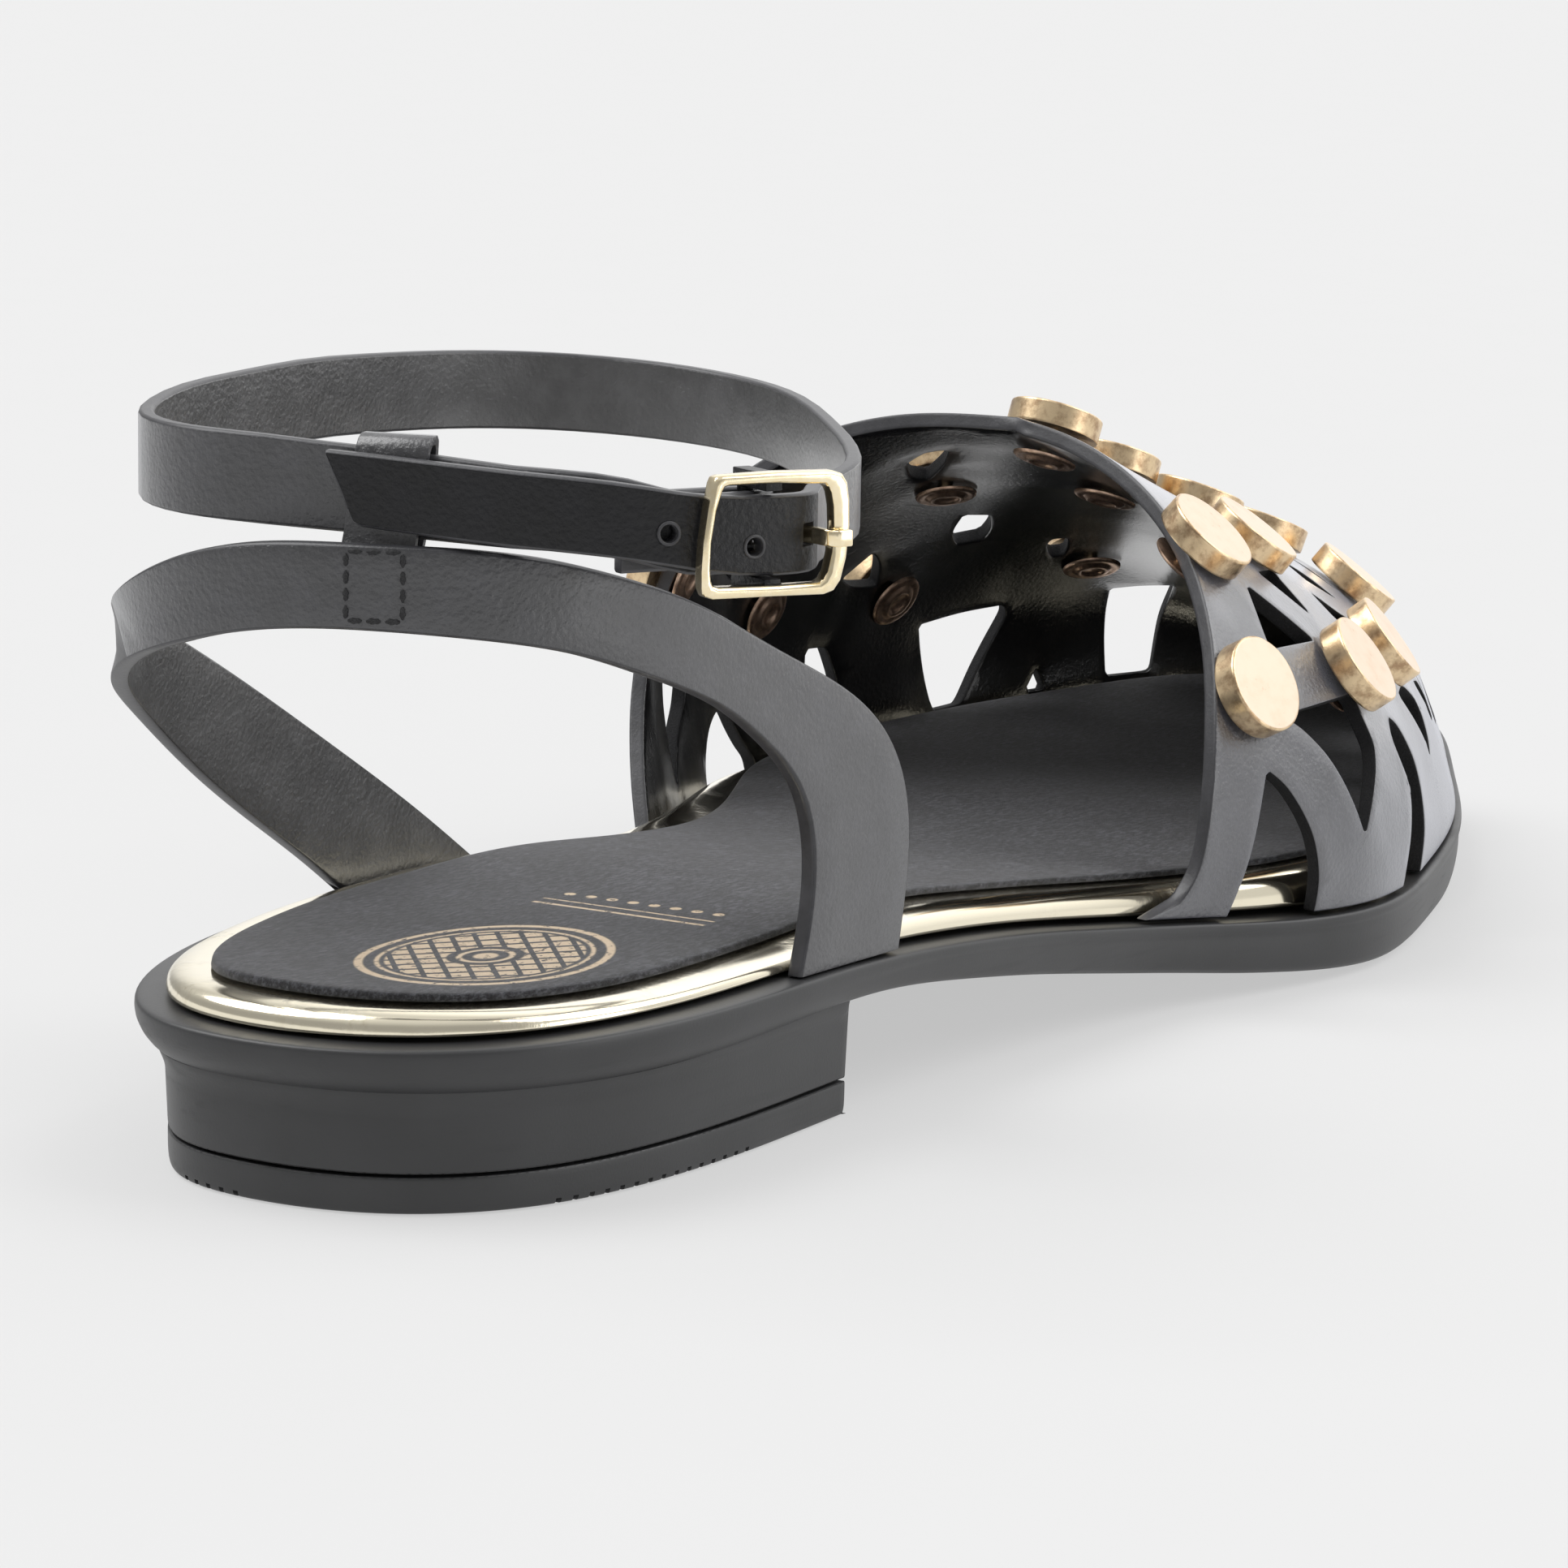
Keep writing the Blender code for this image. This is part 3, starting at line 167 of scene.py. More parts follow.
fibres = {
    "dark": (0.005, 0.005, 0.006), "light": (0.022, 0.022, 0.025), "roughness": 0.9,
    "size": 0.22 * mm, "depth": 0.15 * mm,
}
yarn = {
    "dark": (0.008, 0.008, 0.009), "light": (0.030, 0.030, 0.032), "roughness": 0.7,
    "size": 0.18 * mm, "depth": 0.06 * mm,
}


def pebbled(wire, place, look):
    drift = wire.make("TexNoise", {}, {"Vector": place, "Scale": 0.7 / look["grain"]}, 1)
    shift = wire.make("VectorMath", {"operation": "SCALE"}, {0: drift, "Scale": look["grain"] * 0.5})
    bent = wire.make("VectorMath", {"operation": "ADD"}, {0: place, 1: shift})  # pebbles of uneven shape
    pebbles = wire.make("TexVoronoi", {"feature": "SMOOTH_F1"}, {"Vector": bent, "Scale": 1 / look["grain"]})
    fine = place.noise(look["grain"] * 0.45)
    worn = place.noise(look["worn"], 2.0)
    inputs = {
        "Base Color": place.noise(look["patches"]).ramp(0.35, 0.75).mix(look["dark"], look["light"]),
        "Roughness": look["roughness"] + (worn - 0.5) * 0.14 + (fine - 0.5) * 0.12,
        "Specular IOR Level": look["gloss"],
        "Coat Weight": look["coat"],
        "Coat Roughness": look["coatRoughness"],
        "height": (pebbles * -0.8 + fine * 0.55, look["depth"]),
    }
    if "sheen" in look:
        inputs["Sheen Weight"] = look["sheen"]
        inputs["Sheen Roughness"] = look["sheenRoughness"]
        inputs["Sheen Tint"] = look["sheenTint"]
    return inputs


def outerLeather(wire, place):
    return pebbled(wire, place, waxedHide)


def vampLeather(wire, place):  # the same hide with a cool satin bloom
    return pebbled(wire, place, satinHide)


def liningLeather(wire, place):
    return pebbled(wire, place, polishedLining)


def strapLining(wire, place):
    return pebbled(wire, place, greyLining)


def paintedShadeTipLeather(wire, place):  # painted shade: the free end is painted blacker, for an end that turns downward and looks darker
    return pebbled(wire, place, paintedShadeHide)


def edgePaint(wire, place):
    ripple = place.noise(paint["ripple"])
    specks = place.noise(paint["specks"], 2.0)
    return {
        "Base Color": ripple.ramp(0.3, 0.8).mix(paint["dark"], paint["light"]),
        "Roughness": paint["roughness"] + ripple * 0.12,
        "Specular IOR Level": paint["gloss"],
        "height": (ripple * 0.5 + specks * 0.5, paint["depth"]),
    }


def rawEdge(wire, place):
    fluff = place.noise(fibres["size"], 4.0, 0.7)
    return {
        "Base Color": fluff.ramp(0.45, 0.8).mix(fibres["dark"], fibres["light"]),
        "Roughness": fibres["roughness"],
        "height": (fluff, fibres["depth"]),
    }


def threadBlack(wire, place):
    twist = place.noise(yarn["size"], 2.0, 0.6, (1, 1, 2))
    return {
        "Base Color": twist.ramp(0.3, 0.8).mix(yarn["dark"], yarn["light"]),
        "Roughness": yarn["roughness"],
        "height": (twist, yarn["depth"]),
    }


# sole and footbed
rubber = {
    "dark": (0.022, 0.0225, 0.0235), "light": (0.029, 0.0295, 0.031), "roughness": 0.42, "gloss": 0.62,
    "clouds": 14 * mm, "scuffs": 5 * mm, "grit": 0.30 * mm, "depth": 0.03 * mm,
}
foilLeather = {
    "gold": (0.93, 0.86, 0.68), "worn": (0.46, 0.36, 0.19), "roughness": 0.13,
    "wornPlaces": 15 * mm, "creases": 0.9 * mm, "scratches": 0.5 * mm, "waves": 7 * mm, "depth": 0.10 * mm,
}
suede = {
    "dark": (0.005, 0.005, 0.007), "light": (0.075, 0.076, 0.088), "roughness": 0.92, "sheen": 0.25,
    "streaks": 0.55 * mm, "clouds": 6 * mm, "nap": 0.16 * mm, "depth": 0.10 * mm,
}
ornament = {  # a plain medallion, two bars and a row of beads, pressed in foil
    "foil": (0.60, 0.46, 0.30), "cracks": 0.7 * mm,
    "centre": (-1.5 * mm, -7.3 * mm), "half": (15.5 * mm, 11.3 * mm),
    "rings": ((0.18, 0.225), (0.80, 0.835), (0.92, 0.985)), "eye": (0.08, 0.11),  # shares of the half size
    "net": (0.30, 0.76), "lozenge": 3.6 * mm, "wire": (0.10, 0.14),
    "bars": ((24, 0.3, 0.12), (26, 0.18, 0.1)), "barEnds": 10,  # in mm: place, half width and soft edge
    "beads": 29, "beadRadius": 0.6, "beadStep": 2.5,
}


def blackRubber(wire, place):
    grit = place.noise(rubber["grit"])
    scuffs = place.noise(rubber["scuffs"], 4.0, 0.7, (0.15, 1, 3))
    return {
        "Base Color": place.noise(rubber["clouds"]).ramp(0.3, 0.7).mix(rubber["dark"], rubber["light"]),
        "Roughness": rubber["roughness"] + scuffs.ramp(0.5, 0.8) * 0.12,
        "Specular IOR Level": rubber["gloss"],
        "height": (grit * 0.5 + scuffs * 0.6, rubber["depth"]),
    }


def goldLeather(wire, place):
    creases = place.noise(foilLeather["creases"], 3.0, 0.6, (1.0, 0.7, 0.35))
    where = place.noise(foilLeather["wornPlaces"], 2.0).ramp(0.50, 0.70)
    waves = place.noise(foilLeather["waves"], 2.0, 0.4, (0.5, 1, 1))
    scratches = place.noise(foilLeather["scratches"], 4.0, 0.7, (0.15, 1, 1)).ramp(0.60, 0.72)
    worn = scratches * where * 0.6 + (creases - 0.4).ramp(0.1, 0.3) * where * 0.3
    return {
        "Base Color": worn.mix(foilLeather["gold"], foilLeather["worn"]),
        "Metallic": 1.0,
        "Roughness": foilLeather["roughness"] + creases * where * 0.18,
        "height": (creases * where * 0.8 + waves * 0.9, foilLeather["depth"]),
    }


def band(value, low, high, soft=0.012):
    return value.ramp(low - soft, low + soft) * (1 - value.ramp(high - soft, high + soft))


def medallion(wire, x, y):  # 1 where the foil is, from places measured from its centre
    u, v = x / ornament["half"][0], y / ornament["half"][1]
    reach = (u * u + v * v) ** 0.5
    p, q = x / ornament["lozenge"], y / ornament["lozenge"] * 1.2
    net = wire.maths("MINIMUM", wire.maths("PINGPONG", p + q, 0.5), wire.maths("PINGPONG", p - q, 0.5))
    shape = 1 - reach.ramp(*ornament["eye"]) + band(reach, *ornament["net"]) * net.ramp(*ornament["wire"])
    for low, high in ornament["rings"]:
        shape = shape + band(reach, low, high)
    return shape


def barsAndBeads(wire, x, y):
    x, y = x / mm, y / mm
    aside = wire.maths("PINGPONG", y + ornament["beadStep"], ornament["beadStep"]) - ornament["beadStep"] / 2
    shape = band(((x - ornament["beads"]) ** 2 + aside ** 2) ** 0.5, -1.0, ornament["beadRadius"], 0.1)
    for middle, half, soft in ornament["bars"]:
        shape = shape + band(x - middle, -half, half, soft)
    return shape * band(y, -ornament["barEnds"], ornament["barEnds"], 0.2)


def nubuck(wire, place):
    streaks = place.noise(suede["streaks"], 5.0, 0.8, (0.4, 1, 1))
    nap = place.noise(suede["nap"], 2.0)
    brushed = place.noise(suede["clouds"]).ramp(0.3, 0.75).mix((0.7, 0.7, 0.7), (1.2, 1.2, 1.2))
    x = wire.make("SeparateXYZ", {}, {0: place}, "X") - ornament["centre"][0]
    y = wire.make("SeparateXYZ", {}, {0: place}, "Y") - ornament["centre"][1]
    pressed = wire.maths("MINIMUM", medallion(wire, x, y) + barsAndBeads(wire, x, y), 1.0)
    foil = pressed * place.noise(ornament["cracks"], 4.0, 0.7, (0.7, 1, 1)).ramp(0.36, 0.44)
    ground = streaks.ramp(0.40, 0.72).mix(suede["dark"], suede["light"])
    ground = wire.make("Mix", {"data_type": "RGBA", "blend_type": "MULTIPLY"}, {0: 1.0, 6: ground, 7: brushed}, 2)
    return {
        "Base Color": foil.mix(ground, ornament["foil"]),
        "Metallic": foil * 0.6,
        "Roughness": suede["roughness"] - foil * 0.42,
        "Sheen Weight": suede["sheen"],
        "Sheen Roughness": 0.5,
        "height": (streaks * 0.7 + nap * 0.4 + foil * -0.3, suede["depth"]),
    }


# metal
studTop = {
    "pale": (0.77, 0.64, 0.51), "deep": (0.73, 0.57, 0.43), "speck": (0.46, 0.29, 0.16), "roughness": 0.36,
    "sparkle": 0.20 * mm, "tarnish": 2.4 * mm, "specks": 0.8 * mm, "depth": 0.012 * mm,
}
# the sides are darker than the face: partly antique tone, partly painted shade for the dark room they reflect
studSideAndShade = {
    "pale": (0.84, 0.65, 0.41), "deep": (0.44, 0.29, 0.17), "roughness": 0.24,
    "sparkle": 0.30 * mm, "tarnish": 2.0 * mm, "depth": 0.015 * mm,
}
washer = {
    "pale": (0.88, 0.63, 0.47), "deep": (0.48, 0.31, 0.22), "roughness": 0.30,
    "tarnish": 1.3 * mm, "pits": 0.3 * mm, "depth": 0.02 * mm,
}
plating = {
    "pale": (0.97, 0.85, 0.60), "deep": (0.93, 0.78, 0.50), "roughness": 0.10,
    "swirl": 0.9 * mm, "depth": 0.004 * mm,
}


def studFace(wire, place):  # brushed and a little worn
    sparkle = place.noise(studTop["sparkle"], 4.0, 0.7)
    tarnish = place.noise(studTop["tarnish"], 4.0, 0.6)
    specks = place.noise(studTop["specks"], 3.0, 0.7).ramp(0.64, 0.70) * tarnish.ramp(0.45, 0.7) * 0.6
    base = tarnish.ramp(0.40, 0.85).mix(studTop["pale"], studTop["deep"])
    return {
        "Base Color": specks.mix(base, studTop["speck"]),
        "Metallic": 1.0,
        "Roughness": studTop["roughness"] + sparkle * 0.12,
        "height": (sparkle, studTop["depth"]),
    }


# the darker tarnish blend is antique tone together with painted shade
def antiqueGoldAndShade(wire, place):
    sparkle = place.noise(studSideAndShade["sparkle"], 4.0, 0.7)
    tarnish = place.noise(studSideAndShade["tarnish"], 4.0, 0.65)
    return {
        "Base Color": tarnish.ramp(0.40, 0.70).mix(studSideAndShade["pale"], studSideAndShade["deep"]),
        "Metallic": 1.0,
        "Roughness": studSideAndShade["roughness"] + sparkle * 0.14,
        "height": (sparkle, studSideAndShade["depth"]),
    }


def bronze(wire, place):
    tarnish = place.noise(washer["tarnish"], 4.0, 0.65)
    pits = place.noise(washer["pits"], 3.0, 0.7)
    return {
        "Base Color": tarnish.ramp(0.35, 0.75).mix(washer["pale"], washer["deep"]),
        "Metallic": 1.0,
        "Roughness": washer["roughness"] + tarnish * 0.2,
        "height": (tarnish + pits * 0.5, washer["depth"]),
    }


def buckleGold(wire, place):
    swirl = place.noise(plating["swirl"])
    return {
        "Base Color": swirl.ramp(0.3, 0.8).mix(plating["pale"], plating["deep"]),
        "Metallic": 1.0,
        "Roughness": plating["roughness"] + swirl * 0.08,
        "height": (swirl, plating["depth"]),
    }


floorLook = {"dark": (0.240, 0.240, 0.240), "light": (0.246, 0.246, 0.246), "clouds": 30 * mm, "glow": 0.515}


def paleFloor(wire, place):
    return {
        "Base Color": place.noise(floorLook["clouds"], 2.0).mix(floorLook["dark"], floorLook["light"]),
        "Roughness": 0.95,
        "Specular IOR Level": 0.0,
        "Emission Color": (1.0, 1.0, 1.0),
        "Emission Strength": floorLook["glow"],
    }


recipes = (
    outerLeather, vampLeather, liningLeather, strapLining, paintedShadeTipLeather, edgePaint, rawEdge, threadBlack,
    blackRubber, goldLeather, nubuck, studFace, antiqueGoldAndShade, bronze, buckleGold, paleFloor,
)
looks = {recipe.__name__: newMaterial(recipe.__name__, recipe) for recipe in recipes}
print("materials ready:", len(looks))


# shared modelling steps
def pick(*chosen):
    if bpy.context.object and bpy.context.object.mode != "OBJECT":
        bpy.ops.object.mode_set(mode="OBJECT")
    bpy.ops.object.select_all(action="DESELECT")
    for piece in chosen:
        piece.select_set(True)
    bpy.context.view_layer.objects.active = chosen[-1]


def joined(name, pieces):
    pick(*pieces)
    bpy.ops.object.join()
    whole = bpy.context.object
    whole.name = whole.data.name = name
    return whole


def copyOf(node, name):  # the node's own shape as a clean mesh of quads
    pick(frame["nodes"][node])
    bpy.ops.object.duplicate()
    piece = bpy.context.object
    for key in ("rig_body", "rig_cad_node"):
        del piece[key]
    bpy.ops.object.parent_clear(type="CLEAR")
    piece.name = piece.data.name = name
    piece.data.materials.clear()
    bpy.ops.mesh.customdata_custom_splitnormals_clear()
    bpy.ops.object.mode_set(mode="EDIT")
    bpy.ops.mesh.select_all(action="SELECT")
    bpy.ops.mesh.remove_doubles(threshold=0.002 * mm)
    bpy.ops.mesh.tris_convert_to_quads(face_threshold=math.radians(25), shape_threshold=math.radians(50))
    bpy.ops.mesh.select_all(action="DESELECT")
    bpy.ops.object.mode_set(mode="OBJECT")
    return piece


def creaseSharp(piece, angle):
    pick(piece)
    bpy.ops.object.mode_set(mode="EDIT")
    bpy.ops.mesh.select_mode(type="EDGE")
    bpy.ops.mesh.select_all(action="DESELECT")
    bpy.ops.mesh.edges_select_sharp(sharpness=math.radians(angle))
    bpy.ops.transform.edge_crease(value=1)
    bpy.ops.mesh.select_all(action="DESELECT")
    bpy.ops.object.mode_set(mode="OBJECT")


def pinTips(piece, angle):  # corners of the cut-outs stay sharp when the skin is rounded
    mesh = piece.data
    onWall = {}
    for f in mesh.polygons:
        for key in f.edge_keys:
            onWall.setdefault(key, set()).add(f.material_index > 1)
    meets = {}
    for key, kinds in onWall.items():
        if len(kinds) == 2:
            for one, other in (key, key[::-1]):
                meets.setdefault(one, []).append(mesh.vertices[other].co - mesh.vertices[one].co)
    widest = math.radians(180 - angle)
    tips = [v for v, ways in meets.items() if len(ways) == 2 and ways[0].angle(ways[1]) < widest]
    pick(piece)
    bpy.ops.object.mode_set(mode="EDIT")
    bpy.ops.mesh.select_mode(type="VERT")
    bpy.ops.mesh.select_all(action="DESELECT")
    bpy.ops.object.mode_set(mode="OBJECT")
    for v in tips:
        mesh.vertices[v].select = True
    bpy.ops.object.mode_set(mode="EDIT")
    bpy.ops.transform.vert_crease(value=1)
    bpy.ops.mesh.select_all(action="DESELECT")
    bpy.ops.object.mode_set(mode="OBJECT")


def applied(piece, kind, **settings):
    pick(piece)
    step = piece.modifiers.new(kind.lower(), kind)
    for key, value in settings.items():
        setattr(step, key, value)
    bpy.ops.object.modifier_apply(modifier=step.name)


def rounded(piece, creased):  # edges sharper than this angle are kept, the rest is made smooth
    creaseSharp(piece, creased)
    applied(piece, "SUBSURF", levels=2, render_levels=2)


def bevelled(piece, width, angle, segments=2):
    applied(
        piece, "BEVEL", width=width, segments=segments, limit_method="ANGLE", angle_limit=math.radians(angle),
        use_clamp_overlap=False,
    )


def finished(piece, slot, *materials, replaces=(), smooth=180):
    pick(piece)
    if smooth < 180:
        bpy.ops.object.shade_smooth_by_angle(angle=math.radians(smooth))
    else:
        bpy.ops.object.shade_smooth()
    for name in materials:
        piece.data.materials.append(looks[name])
    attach(piece, "root")
    if replaces:
        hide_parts(*replaces)


def islands(piece, angle):  # groups of faces that meet at less than this angle, largest first
    mesh = piece.data
    limit = math.cos(math.radians(angle))
    normals = [f.normal.copy() for f in mesh.polygons]
    byEdge = {}
    for f in mesh.polygons:
        for key in f.edge_keys:
            byEdge.setdefault(key, []).append(f.index)
    grouped = set()
    found = []
    for seed in range(len(normals)):
        if seed in grouped:
            continue
        grouped.add(seed)
        stack, members = [seed], []
        while stack:
            i = stack.pop()
            members.append(i)
            for key in mesh.polygons[i].edge_keys:
                for j in byEdge[key]:
                    if j not in grouped and normals[i].dot(normals[j]) > limit:
                        grouped.add(j)
                        stack.append(j)
        found.append(members)
    found.sort(key=lambda members: -sum(mesh.polygons[i].area for i in members))
    return found


def setLook(piece, faces, index):
    for i in faces:
        piece.data.polygons[i].material_index = index


def leaning(axis):  # turns what was made upright to stand along this axis
    return Vector((0, 0, 1)).rotation_difference(axis).to_matrix().to_4x4()


# vamp
cage = {"sharp": 48, "tips": 30, "calm": 6, "edge": 0.22 * mm, "edgeAngle": 50, "smooth": 60}
toeFill = {
    "back": 171 * mm, "full": 200 * mm, "front": 217 * mm, "fade": 8 * mm, "above": 18 * mm,
    "y": 2.4 * mm, "centred": 14 * mm, "wide": 6.4 * mm, "rise": 2.7 * mm, "calm": 70,
}
vamp = copyOf("vamp", "vampCage")
areas = islands(vamp, cage["sharp"])
inside, walls = areas[1], areas[2:]
topline = min(walls, key=lambda wall: min(vamp.data.polygons[i].center.x for i in wall))
setLook(vamp, inside, 1)
for wall in walls:
    setLook(vamp, wall, 2 if wall is topline else 3)
creaseSharp(vamp, cage["sharp"])
pinTips(vamp, cage["tips"])
applied(vamp, "SUBSURF", levels=2, render_levels=2)
wallPoints = {v for f in vamp.data.polygons if f.material_index > 1 for v in f.vertices}
skin = vamp.vertex_groups.new(name="skin")
skin.add([v.index for v in vamp.data.vertices if v.index not in wallPoints], 1.0, "REPLACE")
applied(vamp, "SMOOTH", factor=0.5, iterations=cage["calm"], vertex_group="skin")
toe = vamp.vertex_groups.new(name="toe")
for v in vamp.data.vertices:  # the toe box is pushed out evenly where the two halves meet
    fromBack, toFront = v.co.x - toeFill["back"], toeFill["front"] - v.co.x
    amount = min(fromBack / (toeFill["full"] - toeFill["back"]), toFront / toeFill["fade"], 1.0)
    if amount <= 0 or v.co.z <= toeFill["above"]:
        continue
    amount = amount * amount * (3 - 2 * amount)
    off = (v.co.y - toeFill["y"] * min(1.0, toFront / toeFill["centred"])) / toeFill["wide"]
    v.co.z += toeFill["rise"] * amount * math.exp(-off * off)
    if v.index not in wallPoints:
        toe.add([v.index], amount * math.exp(-(off / 2) ** 4), "REPLACE")
applied(vamp, "SMOOTH", factor=0.5, iterations=toeFill["calm"], vertex_group="toe")
bevelled(vamp, cage["edge"], cage["edgeAngle"])
finished(
    vamp, "black_leather", "vampLeather", "liningLeather", "edgePaint", "rawEdge",
    replaces=("vamp",), smooth=cage["smooth"],
)
print("vamp with", len(walls), "edges")


# straps
def strapLooks(piece):  # outer side 0, lining 1, edges 2
    faces = piece.data.polygons
    areas = islands(piece, 30)
    for edge in areas[2:]:
        setLook(piece, edge, 2)
    centre = sum((v.co for v in piece.data.vertices), Vector()) / len(piece.data.vertices)
    for side in areas[:2]:
        facing = sum(faces[i].normal.dot(faces[i].center - centre) * faces[i].area for i in side)
        setLook(piece, side, 0 if facing > 0 else 1)


def hitOf(piece, start, way):
    found, point, normal, face = piece.ray_cast(Vector(start), Vector(way).normalized())
    return (point, normal) if found else None


heelBand = {"sharp": 40, "edge": 0.14 * mm, "smooth": 40}
backStrap = copyOf("back_strap", "backStrap")
strapLooks(backStrap)
rounded(backStrap, heelBand["sharp"])
bevelled(backStrap, heelBand["edge"], 40)
finished(
    backStrap, "black_leather", "outerLeather", "strapLining", "edgePaint",
    replaces=("back_strap",), smooth=heelBand["smooth"],
)

stitchBox = {  # the keeper's tab is sewn down in a box on the outer side
    "y": (-10.2 * mm, -14.9 * mm), "z": (55.9 * mm, 62.2 * mm), "tall": 4, "wide": 3,
    "thread": 0.25 * mm, "flat": 0.9, "half": 0.46, "proud": 0.25, "twist": 0.22,
}


def stitch(start, end):  # one short twisted thread between two spots on the leather
    bpy.ops.object.select_all(action="DESELECT")
    bpy.ops.mesh.primitive_uv_sphere_add(segments=14, ring_count=10, radius=1)
    thread = bpy.context.object
    run, out = end[0] - start[0], (start[1] + end[1]).normalized()
    for v in thread.data.vertices:  # two strands laid round each other
        swell = 1 + stitchBox["twist"] * math.sin(v.co.z * 7 + math.atan2(v.co.y, v.co.x) * 2)
        thick = stitchBox["thread"] * swell
        v.co = Vector((v.co.x * thick, v.co.y * thick * stitchBox["flat"], v.co.z * run.length * stitchBox["half"]))
    turn = Matrix((out.cross(run).normalized(), out, run.normalized())).transposed().to_4x4()
    middle = (start[0] + end[0]) / 2 + out * stitchBox["thread"] * stitchBox["proud"]
    thread.data.transform(Matrix.Translation(middle) @ turn)
    return thread


(rearY, foreY), (lowZ, highZ) = stitchBox["y"], stitchBox["z"]
corners = ((rearY, lowZ), (rearY, highZ), (foreY, highZ), (foreY, lowZ), (rearY, lowZ))
spots = []
for (ya, za), (yb, zb), count in zip(corners, corners[1:], (stitchBox["tall"], stitchBox["wide"]) * 2):
    for k in range(count):
        for t in ((k + 0.08) / count, (k + 0.92) / count):
            spots.append(hitOf(backStrap, (-60 * mm, ya + (yb - ya) * t, za + (zb - za) * t), (1, 0, 0)))
stitches = [stitch(start, end) for start, end in zip(spots[::2], spots[1::2])]
finished(joined("backStitches", stitches), "black_leather", "threadBlack")

ankleBand = {
    "thickness": 1.5 * mm, "layerGap": 2.6 * mm, "step": 0.1 * mm, "edge": 0.12 * mm, "smooth": 32,
    "hole": 2.6 * mm, "ring": 0.98 * mm, "ringWire": 0.17 * mm,
}
ankleStrap = copyOf("ankle_strap", "ankleStrap")
strapLooks(ankleStrap)
buckleLow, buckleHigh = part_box("buckle_frame")
for f in ankleStrap.data.polygons:  # the free end lies on another layer of the strap; these faces and those by the buckle take the painted shade
    if f.material_index != 0:
        continue
    if buckleLow[0] < f.center.x < buckleHigh[0] and f.center.y < buckleHigh[1]:
        f.material_index = 3
        continue
    under = hitOf(ankleStrap, f.center - f.normal * (ankleBand["thickness"] + ankleBand["step"]), -f.normal)
    if under and (under[0] - f.center).length < ankleBand["thickness"] + ankleBand["layerGap"]:
        f.material_index = 3


def ringRound(piece, wall):  # a painted ring, where this wall is the inside of a prong hole
    points = {v for i in wall for v in piece.data.polygons[i].vertices}
    places = [piece.data.vertices[v].co for v in points]
    spans = [max(p[k] for p in places) - min(p[k] for p in places) for k in range(3)]
    if len(wall) < 6 or Vector(spans).length > 2 * ankleBand["hole"]:
        return None
    around = [f for f in piece.data.polygons if f.material_index in (0, 3) and points & set(f.vertices)]
    rim = [piece.data.vertices[v].co for v in points & {v for f in around for v in f.vertices}]
    if len(rim) < 5:
        return None
    bpy.ops.object.select_all(action="DESELECT")
    bpy.ops.mesh.primitive_torus_add(
        major_segments=28, minor_segments=10, major_radius=ankleBand["ring"], minor_radius=ankleBand["ringWire"],
    )
    ring = bpy.context.object
    out = sum((f.normal * f.area for f in around), Vector()).normalized()
    ring.data.transform(Matrix.Translation(sum(rim, Vector()) / len(rim)) @ leaning(out))
    return ring


rings = [ring for ring in (ringRound(ankleStrap, wall) for wall in islands(ankleStrap, 40)) if ring]
bevelled(ankleStrap, ankleBand["edge"], 30)
finished(
    ankleStrap, "black_leather", "outerLeather", "strapLining", "edgePaint", "paintedShadeTipLeather",
    replaces=("ankle_strap",), smooth=ankleBand["smooth"],
)
applied(ankleStrap, "WEIGHTED_NORMAL", keep_sharp=True)
finished(joined("punchedRings", rings), "black_leather", "edgePaint")

keeper = copyOf("strap_keeper", "strapKeeper")
bevelled(keeper, ankleBand["edge"], 40)
finished(keeper, "black_leather", "outerLeather", replaces=("strap_keeper",), smooth=40)
print("straps with", len(stitches), "stitches and", len(rings), "rings")


# sole and footbed
moulded = {"sharp": 75, "heelSharp": 22, "heelEdge": 0.15 * mm, "heelSmooth": 50}
outsole = copyOf("outsole", "outsoleRubber")
rounded(outsole, moulded["sharp"])
finished(outsole, "rubber", "blackRubber", replaces=("outsole",))

heelFillet = {  # the block swells a little where it meets the sole
    "from": 9.6 * mm, "tall": 1.5 * mm, "out": 0.75 * mm, "up": 0.8 * mm, "cuts": (0.02, 0.35, 0.6, 0.8),
}
heelBlock = copyOf("heel_block", "heelBlock")
rounded(heelBlock, moulded["heelSharp"])
bpy.ops.object.mode_set(mode="EDIT")
for share in heelFillet["cuts"]:
    level = heelFillet["from"] + heelFillet["tall"] * share
    bpy.ops.mesh.select_all(action="SELECT")
    bpy.ops.mesh.bisect(plane_co=(0, 0, level), plane_no=(0, 0, 1))
bpy.ops.mesh.select_all(action="DESELECT")
bpy.ops.object.mode_set(mode="OBJECT")
outward = [Vector((v.normal.x, v.normal.y, 0)) for v in heelBlock.data.vertices]
for v, way in zip(heelBlock.data.vertices, outward):
    share = min(max((v.co.z - heelFillet["from"]) / heelFillet["tall"], 0), 1) ** 2
    v.co.z += heelFillet["up"] * share
    if way.length > 0.3 and way.normalized().x < 0.5:  # the front face stays flat
        v.co += way.normalized() * heelFillet["out"] * share
bevelled(heelBlock, moulded["heelEdge"], 22)
finished(heelBlock, "rubber", "blackRubber", replaces=("heel_block",), smooth=moulded["heelSmooth"])

